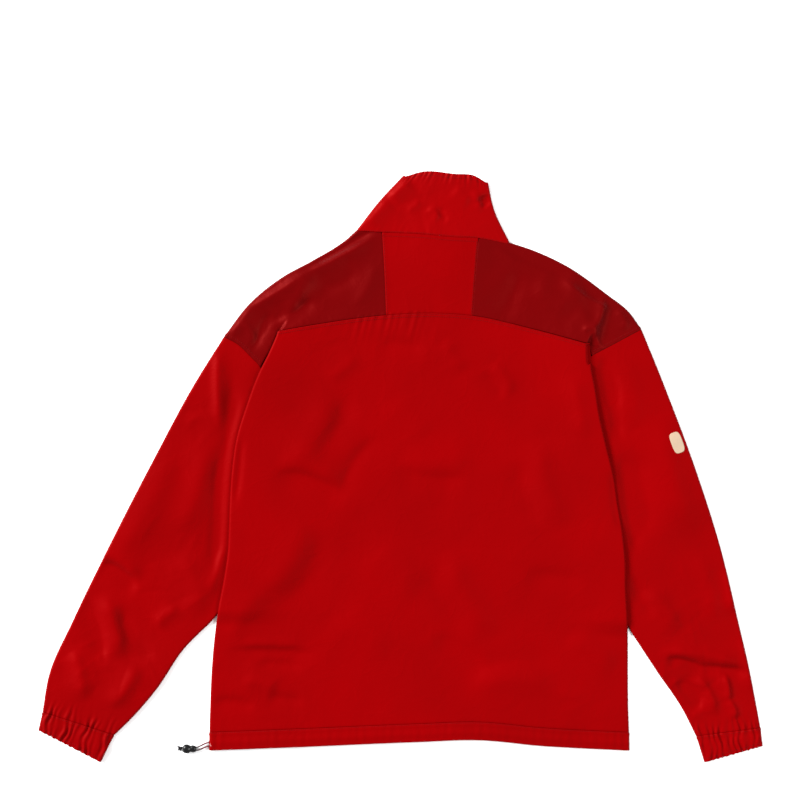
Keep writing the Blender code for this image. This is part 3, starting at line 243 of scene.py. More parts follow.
# Hem drawcord, cord stopper and knot
CORD_R = 1.1
CORD_ROUTE = {
    "upper": ((-259.3, -372.0, 3.1), (-264.5, -373.9, 3.3), (-270.0, -376.5, 3.9), (-274.5, -378.4, 4.25),
              (-279.0, -378.7, 4.3), (-285.0, -378.7, 4.3), (-290.0, -378.7, 4.3), (-294.3, -378.7, 4.3)),
    "lower": ((-259.3, -377.2, 3.0), (-264.5, -378.8, 3.2), (-270.0, -381.0, 3.9), (-274.5, -382.5, 4.25),
              (-279.0, -382.7, 4.3), (-285.0, -382.7, 4.3), (-290.0, -382.7, 4.3), (-294.3, -382.7, 4.3)),
}
STOPPER_CENTRE = (-284.9, -380.7, 4.3)
STOPPER_PROFILE = ((-9.4, 0.0), (-9.3, 1.7), (-8.9, 3.3), (-8.0, 4.75), (-6.4, 5.8), (-4.4, 6.25),
                   (-2.4, 6.1), (-0.7, 5.45), (0.5, 4.55), (1.3, 4.2), (2.2, 4.45), (3.6, 4.85),
                   (5.4, 4.85), (7.2, 4.35), (8.5, 3.4), (9.2, 1.9), (9.4, 0.0))
STOPPER_FLAT = 0.68
BORE_R, BORE_STEP = 1.4, 2.0
KNOT_CENTRE = (-297.4, -380.0, 3.2)


# Curves and grids

def hermite(knots, values, at):
    """Smooth curve through values at rising knots: a cubic in each span, with its neighbours' mean slopes."""
    knots, values = np.asarray(knots, dtype=float), np.asarray(values, dtype=float)
    slopes = np.gradient(values, knots, axis=0)
    at = np.clip(at, knots[0], knots[-1])
    span = np.clip(np.searchsorted(knots, at, side="right") - 1, 0, len(knots) - 2)
    step = knots[span + 1] - knots[span]
    t = (at - knots[span]) / step
    if values.ndim == 2:
        step, t = step[..., None], t[..., None]
    return ((2 * t**3 - 3 * t**2 + 1) * values[span] + (t**3 - 2 * t**2 + t) * step * slopes[span]
            + (3 * t**2 - 2 * t**3) * values[span + 1] + (t**3 - t**2) * step * slopes[span + 1])


def shares(edge):
    """Share of an edge's length at each of its points."""
    lengths = np.concatenate(([0.0], np.cumsum(np.linalg.norm(np.diff(edge, axis=0), axis=1))))
    return lengths / lengths[-1]


def along(points, fractions):
    """Points at fractions of the length of the smooth curve through the given points."""
    points = np.array(points, dtype=float)
    return hermite(shares(points), points, np.asarray(fractions, dtype=float))


def stations(length, step, near_seams=True):
    """Shares of a length a step apart, closer together near its two ends, where the seams are."""
    near = np.array([0.0, 0.7, 1.5, 2.5, 3.7, 4.9, 6.4]) if near_seams else np.array([0.0])
    count = max(2, int(round((length - 2 * near[-1]) / step)) + 1)
    middle = np.linspace(near[-1], length - near[-1], count)
    return np.concatenate((near[:-1], middle, length - near[:-1][::-1])) / length


def smooth(t):
    """Eases from 0 to 1."""
    t = np.clip(t, 0.0, 1.0)
    return t * t * (3 - 2 * t)


def coons(bottom, top, left, right):
    """Points inside four edges: both pairs blended, less the blend of the corners; rows run bottom to top."""
    u = ((shares(bottom) + shares(top)) / 2)[None, :, None]
    v = ((shares(left) + shares(right)) / 2)[:, None, None]
    corners = ((1 - u) * (1 - v) * bottom[0] + u * (1 - v) * bottom[-1]
               + (1 - u) * v * top[0] + u * v * top[-1])
    return ((1 - v) * bottom[None] + v * top[None] + (1 - u) * left[:, None] + u * right[:, None]) - corners


def between(edge, first, last):
    """An edge with its two ends moved to new places and the rest carried with them."""
    t = shares(edge)[:, None]
    return edge + (1 - t) * (first - edge[0]) + t * (last - edge[-1])


def inward(edge, towards):
    """Unit normals of an edge, on the side that the point lies on."""
    run = np.gradient(edge, axis=0)
    normal = np.stack((-run[:, 1], run[:, 0]), axis=1)
    normal /= np.linalg.norm(normal, axis=1)[:, None]
    return normal * np.sign(np.sum(normal * (np.array(towards) - edge), axis=1))[:, None]


def corner_normal(before, after, towards):
    """Unit normal where two silhouettes run on into each other."""
    run = np.array(after) - np.array(before)
    normal = np.array((-run[1], run[0])) / np.hypot(*run)
    return normal * np.sign(np.dot(normal, np.array(towards) - np.array(before)))


def eased_normals(edge, towards, first=None, last=None, reach=0.08):
    """Normals of an edge, eased over its ends into those of the neighbours that it runs on into."""
    normals = inward(edge, towards)
    t = shares(edge)[:, None]
    for given, weight in ((first, 1 - smooth(t / reach)), (last, 1 - smooth((1 - t) / reach))):
        if given is not None:
            normals = normals * (1 - weight) + np.array(given) * weight
    return normals / np.linalg.norm(normals, axis=1)[:, None]


def turn(edge, normals, low, high):
    """Half-round turn of the cloth at a silhouette: in by TURN_R and at the lower height, out to the edge at
    half height, and back in at the upper height."""
    flat = edge[None] + normals[None] * (TURN_R * (1 - np.sin(ARC)))[:, None, None]
    height = low[None] + (high - low)[None] * ((1 - np.cos(ARC)) / 2)[:, None]
    return np.concatenate((flat, height[:, :, None]), axis=2)


def with_height(flat, height):
    """Gives points on the floor the height of a surface there."""
    return np.concatenate((flat, height(flat[..., 0], flat[..., 1])[..., None]), axis=-1)


def surface_normals(grid):
    """Unit normals of a grid: the cross product of its two directions."""
    normal = np.cross(np.gradient(grid, axis=1), np.gradient(grid, axis=0))
    return normal / np.maximum(np.linalg.norm(normal, axis=-1, keepdims=True), 1e-9)


def facing_out(grid, down=False):
    """The grid, its columns reversed if its highest point faces down, or for a panel on the floor, up."""
    columns = grid.shape[1]
    row, column = divmod(int(np.argmax(grid[2:-2, 2:-2, 2])), columns - 4)
    facing = surface_normals(grid)[row + 2, column + 2, 2]
    return grid[:, ::-1] if (facing < 0) != down else grid


# Heights

def bell(x, y, spread):
    """Loft over the front of the neck, falling off as a bell."""
    return np.exp(-((x - LOFT_X) ** 2 + (y - LOFT_Y) ** 2) / spread**2)


def fold_height(x, y, table):
    """Sum of the folds of a table. Across its line a fold is a rounded ridge that falls off as one over the
    hyperbolic cosine, wider on one side by its skew; along the line it rises from nothing and dies away."""
    total = np.zeros_like(x)
    for x0, y0, x1, y1, bend, height, half, skew in table:
        run = np.array((x1 - x0, y1 - y0))
        length = np.hypot(*run)
        share = ((x - x0) * run[0] + (y - y0) * run[1]) / length**2
        across = ((x - x0) * run[1] - (y - y0) * run[0]) / length + bend * 4 * share * (1 - share)
        width = half * (1 + skew * np.tanh(across / half))
        ends = smooth((share + 0.12) * 2.6) * smooth((1.12 - share) * 2.6)
        total += height * ends / np.cosh(np.clip(across / width, -30.0, 30.0) * 1.35)
    return total


def crinkle_height(x, y):
    """Small sharp crinkles of stiff thin cloth: short tents at places and directions drawn from seeds."""
    total = np.zeros_like(x)
    for centre_x, centre_y, radius, number, height, seed in CRINKLES:
        if (centre_x + radius < x.min() or centre_x - radius > x.max() or centre_y + radius < y.min()
                or centre_y - radius > y.max()):
            continue
        draw = np.random.default_rng(seed)
        place = np.stack((centre_x + draw.normal(0, radius * 0.5, number),
                          centre_y + draw.normal(0, radius * 0.5, number)), axis=1)
        angle, length = draw.uniform(0, math.pi, number), draw.uniform(12.0, 42.0, number)
        rise, half = height * draw.uniform(-1.0, 1.0, number), draw.uniform(2.6, 5.5, number)
        for (px, py), a, size, up, width in zip(place, angle, length, rise, half):
            run = (x - px) * math.cos(a) + (y - py) * math.sin(a)
            across = (y - py) * math.cos(a) - (x - px) * math.sin(a) + (run / size) ** 2 * width
            total += up * np.exp(-(np.sqrt(across**2 + 0.8) - 0.9) / width - (run / size * 1.6) ** 2)
    return total


def undulation(x, y):
    """Slow unevenness of cloth smoothed by hand: a few long waves in directions drawn from a seed."""
    draw = np.random.default_rng(WAVE_SEED)
    total = np.zeros_like(x)
    for angle, pitch, phase in zip(draw.uniform(0, math.pi, WAVES),
                                   np.geomspace(WAVE_SHORTEST, WAVE_LONGEST, WAVES),
                                   draw.uniform(0, 2 * math.pi, WAVES)):
        along_wave = x * math.cos(angle) + y * math.sin(angle)
        total += np.cos(along_wave * 2 * math.pi / pitch + phase) * pitch / WAVE_STEEPNESS
    return total


def ripple(s, pitch, seed):
    """Uneven ripple along a length: three waves of unlike pitch, never more than 1.1 either way."""
    phase = np.random.default_rng(seed).uniform(0, 2 * math.pi, 3)
    return (0.5 * np.sin(2 * math.pi * s / pitch + phase[0])
            + 0.3 * np.sin(2 * math.pi * s / pitch / 1.43 + phase[1])
            + 0.3 * np.sin(2 * math.pi * s / pitch * 1.31 + phase[2]))


def yoke_gathers(x, y):
    """Short upright gathers that hang from the middle of the back seam."""
    seam = hermite([point[0] for point in BACK_SEAM], [point[1] for point in BACK_SEAM], x)
    below = np.maximum(seam - y, 0.0)
    first, last = YOKE_GATHERED
    span = smooth((x - first) / YOKE_GATHER_EASE) * smooth((last - x) / YOKE_GATHER_EASE)
    fade = np.exp(-(below / YOKE_GATHER_DEPTH) ** 2) * (y < seam + 3)
    return YOKE_GATHER * span * ripple(x + 0.25 * below, YOKE_GATHER_PITCH, YOKE_GATHER_SEED) * fade


def cuff_frame(side):
    """Cuff seam's outer end, its direction across the sleeve and the direction to the hand."""
    outer, inner = np.array(SLEEVE_OUTER[side][-1]), np.array(SLEEVE_INNER[side][-1])
    across = (inner - outer) / np.linalg.norm(inner - outer)
    down = np.array((across[1], -across[0]))
    return outer, across, down * np.sign(np.dot(down, np.array(CUFF_END[side][0]) - outer))


def cuff_gathers(x, y, side):
    """Gathers of the elastic: ripples across the sleeve, full in the cuff and dying away above it."""
    outer, across, down = cuff_frame(side)
    s = (x - outer[0]) * across[0] + (y - outer[1]) * across[1]
    past = (x - outer[0]) * down[0] + (y - outer[1]) * down[1]
    fade = np.where(past > 0, 1.0, np.exp(-(past / CUFF_GATHER_FADE) ** 2))
    wander = 1.3 * np.sin(past / 7.5 + s / 12.0) + 0.8 * np.sin(past / 4.0 - s / 7.0)
    uneven = 0.7 + 0.3 * np.sin(s / 8.0 + past / 6.0)
    return CUFF_GATHER * fade * uneven * ripple(s + wander, CUFF_PITCH, CUFF_SEED[side])


def strength():
    """Share of the folds' full height, from the cloth settings."""
    return bpy.context.scene.anorak_cloth.fold_strength


def table_height(x, y, *tables, gain=FOLD_GAIN):
    """Relief of an upper layer: its folds, crinkles and unevenness, flattened as it nears the layer below."""
    folds = sum(fold_height(x, y, table) for table in tables)
    relief = gain * (folds + CRINKLE_SHARE * crinkle_height(x, y)) + undulation(x, y)
    sunk = -DEEPEST / 2 - DEEPEST / 2 * np.tanh(np.maximum(-DEEPEST / 2 - relief, 0.0) * 2 / DEEPEST)
    return strength() * np.where(relief < -DEEPEST / 2, sunk, relief)


def side_lift(y, side):
    """Share of the full lift of a rolled side at a level: none at the hem and none past the yoke's pleat."""
    low, full, last, end = LIFT_LEVELS[side]
    return smooth((y - low) / (full - low)) * (1 - smooth((y - last) / (end - last)))


def roll_line(y, side):
    """x of the rolled edge, and above it of the pleat that carries on into the shoulder."""
    rows = [row[:2] for row in BODY_SIDE[side]] + list(PLEAT[side])
    return hermite([row[0] for row in rows], [row[1] for row in rows], y)


def roll_spread(y, side):
    """Distance in which the lift of a rolled side fades into the back, so that it clears the hidden strip."""
    levels, rolls, seams = np.array(BODY_SIDE[side]).T
    return np.maximum(ROLL_SPREAD, STRIP_SPREAD * np.interp(y, levels, np.abs(rolls - seams)))


def body_base(x, y):
    """Upper layer of the body without its folds: raised over the sleeves at both sides and over the zip."""
    lift = 0.0
    for side, sign in (("left", 1.0), ("right", -1.0)):
        inside = (x - roll_line(y, side)) * sign - TURN_R
        outside = smooth(1 + inside / PLEAT_EASE) * smooth((y - LIFT_LEVELS[side][2]) / PLEAT_RISE)
        fading = np.exp(-(inside / roll_spread(y, side)) ** 2)
        lift = lift + side_lift(y, side) * np.where(inside >= 0, fading, outside)
    return TOP + SLEEVE_LIFT * lift + BACK_LOFT * bell(x, y, BACK_SPREAD)


def body_top(x, y):
    """Upper layer of the body."""
    return body_base(x, y) + table_height(x, y, BODY_FOLDS, SHOULDER_FOLDS) + yoke_gathers(x, y)


def low_face(x, y):
    """Lower layer: on the floor, but for the loft at the neck and the folds that lift it."""
    lifted = np.maximum(fold_height(x, y, FRONT_FOLDS) - FRONT_FOLD_CUT, 0.0)
    return FRONT_LOFT * bell(x, y, FRONT_SPREAD) + strength() * lifted


def sleeve_top(side):
    """Height function of a sleeve's upper layer."""
    sign = 1.0 if side == "left" else -1.0

    def height(x, y):
        """Upper layer of a sleeve: flat under the rolled side of the back, with its folds beyond it."""
        beyond = smooth(((roll_line(y, side) - x) * sign - 1.0) / 13.0)
        beyond = np.maximum(beyond, smooth((y - 120.0) / 30.0))
        relief = table_height(x, y, SLEEVE_FOLDS, SHOULDER_FOLDS, gain=SLEEVE_GAIN)
        return TOP + relief * beyond + cuff_gathers(x, y, side)
    return height


# Seams

def from_edge(grid, edge):
    """A grid turned so that the named edge is its first row."""
    turned = np.swapaxes(grid, 0, 1) if edge.endswith("column") else grid
    return turned[::-1] if edge.startswith("last") else turned


def edge_distance(grid, edge):
    """Distance of every point from an edge, measured along the cloth."""
    turned = from_edge(grid, edge)
    steps = np.linalg.norm(np.diff(turned, axis=0), axis=-1)
    away = np.concatenate((np.zeros((1, turned.shape[1])), np.cumsum(steps, axis=0)))
    away = away[::-1] if edge.startswith("last") else away
    return np.swapaxes(away, 0, 1) if edge.endswith("column") else away


def parallel(grid, edge, distance):
    """Points and normals of a surface at one distance in from an edge."""
    turned, facing = from_edge(grid, edge), from_edge(surface_normals(grid), edge)
    away = from_edge(edge_distance(grid, edge), edge)
    above = np.clip((away < distance).sum(axis=0), 1, len(turned) - 1)
    line = np.arange(turned.shape[1])
    first, last = away[above - 1, line], away[above, line]
    t = ((distance - first) / (last - first))[:, None]
    return (turned[above - 1, line] * (1 - t) + turned[above, line] * t,
            facing[above - 1, line] * (1 - t) + facing[above, line] * t)


def seam_relief(grid, seams, seed=0):
    """Height of the seams over the face: a dip at each seam, the raised band of its allowance where it is
    turned to this side, a dimple at its stitches, and puckers that die away from it."""
    total = np.zeros(grid.shape[:2])
    for number, (edge, raised, pucker) in enumerate(seams):
        away = edge_distance(grid, edge)
        line = from_edge(grid, edge)
        run = np.concatenate(([0.0], np.cumsum(np.linalg.norm(np.diff(line[0], axis=0), axis=1))))
        waves = np.broadcast_to(ripple(run, 10.0, seed + number)[None], line.shape[:2])
        waves = waves[::-1] if edge.startswith("last") else waves
        waves = np.swapaxes(waves, 0, 1) if edge.endswith("column") else waves
        total -= SEAM_DIP * np.exp(-(away / 1.1) ** 2)
        total += raised * ALLOWANCE_RISE * smooth(away / 1.4) * (1 - smooth((away - ALLOWANCE) / 1.6))
        total -= raised * 0.2 * np.exp(-((away - STITCH_FROM_SEAM) / 0.7) ** 2)
        total += pucker * waves * np.exp(-(away / 9.0) ** 2)
    return total


def drawn_in(grid, edges):
    """Draws the named edges of a grid in by half of the seam's gap."""
    grid = grid.copy()
    for edge in edges:
        turned = from_edge(grid, edge)
        run = turned[1] - turned[0]
        turned[0] += run / np.maximum(np.linalg.norm(run, axis=-1), 1e-9)[..., None] * SEAM_GAP / 2
    return grid


# Meshes

THREAD_LINES = []                           # topstitched lines as they are made: points, normals


def grid_mesh(name, grid, closed=False, left_out=None, attribute=None):
    """Mesh of a grid's quads, its columns joined round if closed, with a UV map in metres along the cloth.

    left_out, (row, column), has no faces in that column from that row on.
    """
    rows, columns = grid.shape[:2]
    wide = columns - 1 if closed else columns
    row, column = np.divmod(np.arange((rows - 1) * (columns - 1)), columns - 1)
    if left_out:
        keep = (row < left_out[0]) | (column != left_out[1])
        row, column = row[keep], column[keep]
    corner_row = np.stack((row, row, row + 1, row + 1), axis=1)
    corner_column = np.stack((column, column + 1, column + 1, column), axis=1)
    faces = corner_row * wide + corner_column % wide
    mesh = bpy.data.meshes.new(name)
    mesh.from_pydata((grid[:, :wide].reshape(-1, 3) * MM).tolist(), [], faces.tolist())
    across = np.cumsum(np.pad(np.linalg.norm(np.diff(grid, axis=1), axis=-1), ((0, 0), (1, 0))), axis=1)
    down = np.cumsum(np.pad(np.linalg.norm(np.diff(grid, axis=0), axis=-1), ((1, 0), (0, 0))), axis=0)
    u, v = across.mean(axis=0), down.mean(axis=1)
    uv = np.stack((u[corner_column], v[corner_row]), axis=-1) * MM
    mesh.uv_layers.new(name="cloth").data.foreach_set("uv", uv.ravel())
    if attribute is not None:
        layer = mesh.attributes.new("seam", "FLOAT", "POINT")
        layer.data.foreach_set("value", attribute[:, :wide].ravel())
    mesh.shade_smooth()
    return mesh


def place(name, mesh, material, nodes=(), slot=None, body="garment"):
    """Puts a finished mesh in the scene, on its body, in place of its CAD nodes."""
    mesh.materials.append(material)
    piece = bpy.data.objects.new(name, mesh)
    bpy.context.scene.collection.objects.link(piece)
    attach(piece, body)
    if nodes:
        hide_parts(*nodes)
    return piece


def cloth(name, grid, material, node, slot, seams=(), stitched=(), closed=False, left_out=None, down=False,
          seed=0):
    """Cloth piece: the outer face moved out by its seams' relief, kept off the floor and thickened inwards.

    seams are (edge, raised, pucker). stitched are (edge, distance from it) of its topstitched lines.
    """
    flipped = facing_out(grid, down)
    was_flipped = flipped is not grid
    names = {"first_column": "last_column", "last_column": "first_column"} if was_flipped else {}
    seams = [(names.get(edge, edge), raised, pucker) for edge, raised, pucker in seams]
    if left_out and was_flipped:
        left_out = (left_out[0], grid.shape[1] - 2 - left_out[1])
    grid = drawn_in(flipped, [edge for edge, raised, pucker in seams])
    # nearness to the seams, kept as the seam attribute that the cloth's shader darkens into painted shade
    # along the seams
    near = np.zeros(grid.shape[:2])
    for edge, raised, pucker in seams:
        near = np.maximum(near, np.exp(-(edge_distance(grid, edge) / 7.0) ** 2))
    grid = grid + surface_normals(grid) * seam_relief(grid, seams, seed)[..., None]
    grid[..., 2] = np.maximum(grid[..., 2], 0.0)
    for edge, distance in stitched:
        THREAD_LINES.append(parallel(grid, names.get(edge, edge), distance))
    mesh = grid_mesh(name, grid, closed, left_out, near)
    piece = place(name, mesh, material, (node,), slot)
    wall = piece.modifiers.new("wall", "SOLIDIFY")
    wall.thickness = bpy.context.scene.anorak_cloth.wall
    wall.offset = -1.0
    wall.use_even_offset = False
    return piece


def tube(outer, inner, start, end, top, low, first_normals=(None, None), last_normals=(None, None)):
    """Flattened tube between two silhouettes: lower layer, turn, upper layer, turn, closed on itself.

    start and end are the (upper, lower) edges across it, outer to inner.
    """
    middle = (outer[len(outer) // 2] + inner[len(inner) // 2]) / 2
    normals = [eased_normals(edge, middle, first, last)
               for edge, first, last in zip((outer, inner), first_normals, last_normals)]
    flat = [edge + normal * TURN_R for edge, normal in zip((outer, inner), normals)]
    layers = []
    for first, last in zip(start, end):
        layers.append(coons(between(first, flat[0][0], flat[1][0]), between(last, flat[0][-1], flat[1][-1]),
                            flat[0], flat[1]))
    upper, lower = with_height(layers[0], top), with_height(layers[1], low)
    turns = [np.swapaxes(turn(edge, normal, low(*line.T), top(*line.T)), 0, 1)
             for edge, normal, line in zip((outer, inner), normals, flat)]
    return np.concatenate((lower[:, ::-1], turns[0][:, 1:], upper[:, 1:], turns[1][:, ::-1][:, 1:]), axis=1)


def loft(rings, closed_ends=True):
    """Faces of rings of points joined one to the next and round, with a point at each end if closed."""
    count, sides = rings.shape[:2]
    row, side = np.divmod(np.arange((count - 1) * sides), sides)
    here, after = row * sides + side, row * sides + (side + 1) % sides
    faces = np.stack((here, after, after + sides, here + sides), axis=1).tolist()
    points = rings.reshape(-1, 3)
    if closed_ends:
        points = np.concatenate((points, rings[:1].mean(axis=1), rings[-1:].mean(axis=1)))
        around = np.arange(sides)
        following = (around + 1) % sides
        first, last = np.full(sides, count * sides), np.full(sides, count * sides + 1)
        base = (count - 1) * sides
        faces += np.stack((following, around, first), axis=1).tolist()
        faces += np.stack((base + around, base + following, last), axis=1).tolist()
    return points, faces


def path_frames(path):
    """Unit tangents and two unit normals along a path, kept upright where it runs level."""
    tangent = np.gradient(path, axis=0)
    tangent /= np.linalg.norm(tangent, axis=1)[:, None]
    side = np.cross(tangent, (0.0, 0.0, 1.0))
    side /= np.maximum(np.linalg.norm(side, axis=1), 1e-6)[:, None]
    return tangent, side, np.cross(side, tangent)


def tube_parts(path, radius, sides=14):
    """Points and faces of a tube: at each point of its path a ring, of one radius or of its own radii."""
    _, side, up = path_frames(path)
    angle = np.linspace(0.0, 2 * math.pi, sides, endpoint=False)
    reach = np.broadcast_to(radius, (len(path), sides))[..., None]
    return loft(path[:, None] + reach * (np.cos(angle)[None, :, None] * side[:, None]
                                         + np.sin(angle)[None, :, None] * up[:, None]))


def round_tube(name, path, radius):
    """Mesh of a tube whose radius is given at each point of its path and round it."""
    points, faces = tube_parts(path, radius, radius.shape[1])
    mesh = bpy.data.meshes.new(name)
    mesh.from_pydata((points * MM).tolist(), [], faces)
    mesh.shade_smooth()
    return mesh


# Outlines shared by neighbours

def fraction_at(points, index):
    """Share of a line's length at which one of its points lies."""
    return shares(np.array(points, dtype=float))[index]


def hem_point(x, above):
    """Points at a height above the hem's edge."""
    edge = along(HEM_EDGE, np.linspace(0.0, 1.0, 200))
    return np.stack((x, np.interp(x, edge[:, 0], edge[:, 1]) + above), axis=-1)


def shoulder_normals(side):
    """Normals at the shoulder point and at the underarm, into the sleeve."""
    hand = CUFF_END[side][0]
    return (corner_normal(SHOULDER[side][-2], SLEEVE_OUTER[side][1], (0.0, 0.0)),
            corner_normal(SLEEVE_INNER[side][0], SLEEVE_INNER[side][1], (hand[0], 0.0)))


def neck_normal(side):
    """Normal at the neck's end of a shoulder line."""
    return corner_normal(COLLAR_SIDE[side][1], SHOULDER[side][1], ZIP_LINE[1])


def cuff_normals(side):
    """Normals at both ends of a cuff's seam."""
    outer, inner = SLEEVE_OUTER[side], SLEEVE_INNER[side]
    return (corner_normal(outer[-2], CUFF_END[side][0], inner[-1]),
            corner_normal(inner[-2], CUFF_END[side][1], outer[-1]))


def armhole(side, fractions):
    """Armhole seam, moved in from the silhouettes at its two ends."""
    at_shoulder, at_underarm = shoulder_normals(side)
    share = np.asarray(fractions)[:, None]
    return along(ARMHOLE[side], fractions) + ((1 - share) * at_shoulder + share * at_underarm) * TURN_R


def neck_edge(points, fractions):
    """Neck seam, back or front, moved in from the silhouettes at its two ends."""
    share = np.asarray(fractions)[:, None]
    ends = (1 - share) * neck_normal("left") + share * neck_normal("right")
    return along(points, fractions) + ends * TURN_R


def neck_share(x):
    """Share of the front neckline's length at an x."""
    fractions = np.linspace(0.0, 1.0, 600)
    return np.interp(x, neck_edge(FRONT_NECK, fractions)[:, 0], fractions)


def yoke_ends():
    """Shares of the neck seam at the yoke's corners."""
    return fraction_at(NECK_SEAM, 1), fraction_at(NECK_SEAM, 4)


def seam_x(share):
    """x at a share of the back seam's width."""
    return BACK_SEAM[0][0] + (BACK_SEAM[-1][0] - BACK_SEAM[0][0]) * share


def seam_point(x):
    """Points on the back seam at given places across the back."""
    curve = along(BACK_SEAM, np.linspace(0.0, 1.0, 300))
    return np.stack((x, np.interp(x, curve[:, 0], curve[:, 1])), axis=-1)


YOKE_SHARES = (0.345, 0.623)                # the yoke's corners along the back seam


def yoke_side(side, fractions):
    """Seam between the yoke and a shoulder, neck to back seam."""
    first, last = yoke_ends()
    top = neck_edge(NECK_SEAM, [first if side == "left" else last])[0]
    foot = seam_point(np.array([seam_x(YOKE_SHARES[0] if side == "left" else YOKE_SHARES[1])]))[0]
    return between(along(YOKE_SIDE[side], fractions), top, foot)


# Cloth pieces

def sleeve_inner_x(y, side):
    """Place across of a sleeve's inner edge at given levels."""
    line = along(SLEEVE_INNER[side], np.linspace(0.0, 1.0, 200))[::-1]
    return np.interp(y, line[:, 1], line[:, 0])


def rolled_side(side, sign, levels):
    """Hidden strip and silhouette of a rolled side at each level: from the side seam, which lies on the
    floor up to the underarm and on the sleeve above it, out to where the cloth turns over."""
    table = np.array(BODY_SIDE[side])
    rolls, seams = hermite(table[:, 0], table[:, 1], levels), hermite(table[:, 0], table[:, 2], levels)
    low = SLEEVE_LIFT * side_lift(levels, side)
    above = smooth((levels - UNDERARM_Y + 30.0) / 30.0)
    at_seam = low * above
    inside_roll = rolls + sign * (TURN_R + 1.5)
    inside_seam = seams - sign * 1.5
    clear = np.clip(sleeve_inner_x(levels, side) + sign * 4.5, np.minimum(inside_roll, inside_seam),
                    np.maximum(inside_roll, inside_seam))
    ramp = clear * (1 - above) + (seams - sign * UNDER_RAMP) * above
    share = np.linspace(0.0, 1.0, 13)[None, :]
    x = seams[:, None] + share * (rolls + sign * TURN_R - seams)[:, None]
    risen = smooth((x - seams[:, None]) / (ramp - seams)[:, None])
    z = at_seam[:, None] + (low - at_seam)[:, None] * risen
    strip = np.stack((x, np.broadcast_to(levels[:, None], x.shape), z), axis=-1)
    return strip, np.stack((rolls, levels), axis=-1), low


def make_back(material):
    """Lower back: hidden strip, turn, upper layer, turn, hidden strip."""
    rows = stations(540.0, 3.3)
    strips, turns, lines = {}, {}, {}
    for side, sign in (("left", 1.0), ("right", -1.0)):
        first, last = BODY_SIDE[side][0][0], BODY_SIDE[side][-1][0]
        strips[side], edge, low = rolled_side(side, sign, first + (last - first) * rows)
        normals = np.tile((sign, 0.0), (len(rows), 1))
        lines[side] = edge + normals * TURN_R
        turns[side] = np.swapaxes(turn(edge, normals, low, body_top(*lines[side].T)), 0, 1)
    columns = stations(550.0, 3.3, near_seams=False)
    left, right = lines["left"], lines["right"]
    across = left[0, 0] + (right[0, 0] - left[0, 0]) * columns
    bottom = between(hem_point(across, HEM_DEPTH), left[0], right[0])
    top = between(seam_point(seam_x(columns)), left[-1], right[-1])
    upper = with_height(coons(bottom, top, left, right), body_top)
    grid = np.concatenate((strips["left"][:, :-1], turns["left"], upper[:, 1:-1], turns["right"][:, ::-1],
                           strips["right"][:, ::-1][:, 1:]), axis=1)
    return cloth("lower_back", grid, material, "back", "red_shell",
                 seams=(("first_row", 0.0, 0.18), ("last_row", 1.0, 0.2)),
                 stitched=(("last_row", 1.7), ("last_row", STITCH_FROM_SEAM)), seed=101)


def make_yoke(material):
    """Centre back yoke between the shoulders, from the neck to the lower back."""
    columns, rows = stations(124.0, 2.6), stations(112.0, 2.6)
    first, last = yoke_ends()
    top = neck_edge(NECK_SEAM, first + (last - first) * columns)
    bottom = seam_point(seam_x(YOKE_SHARES[0] + (YOKE_SHARES[1] - YOKE_SHARES[0]) * columns))
    left, right = (yoke_side(side, rows)[::-1] for side in ("left", "right"))
    grid = with_height(coons(bottom, top, left, right), body_top)
    return cloth("centre_yoke", grid, material, "back_yoke", "red_shell",
                 seams=(("first_row", 0.0, 0.15), ("last_row", 1.0, 0.15), ("first_column", 0.5, 0.15),
                        ("last_column", 0.5, 0.15)),
                 stitched=(("last_row", STITCH_FROM_SEAM), ("first_column", 1.8), ("last_column", 1.8)),
                 seed=111)


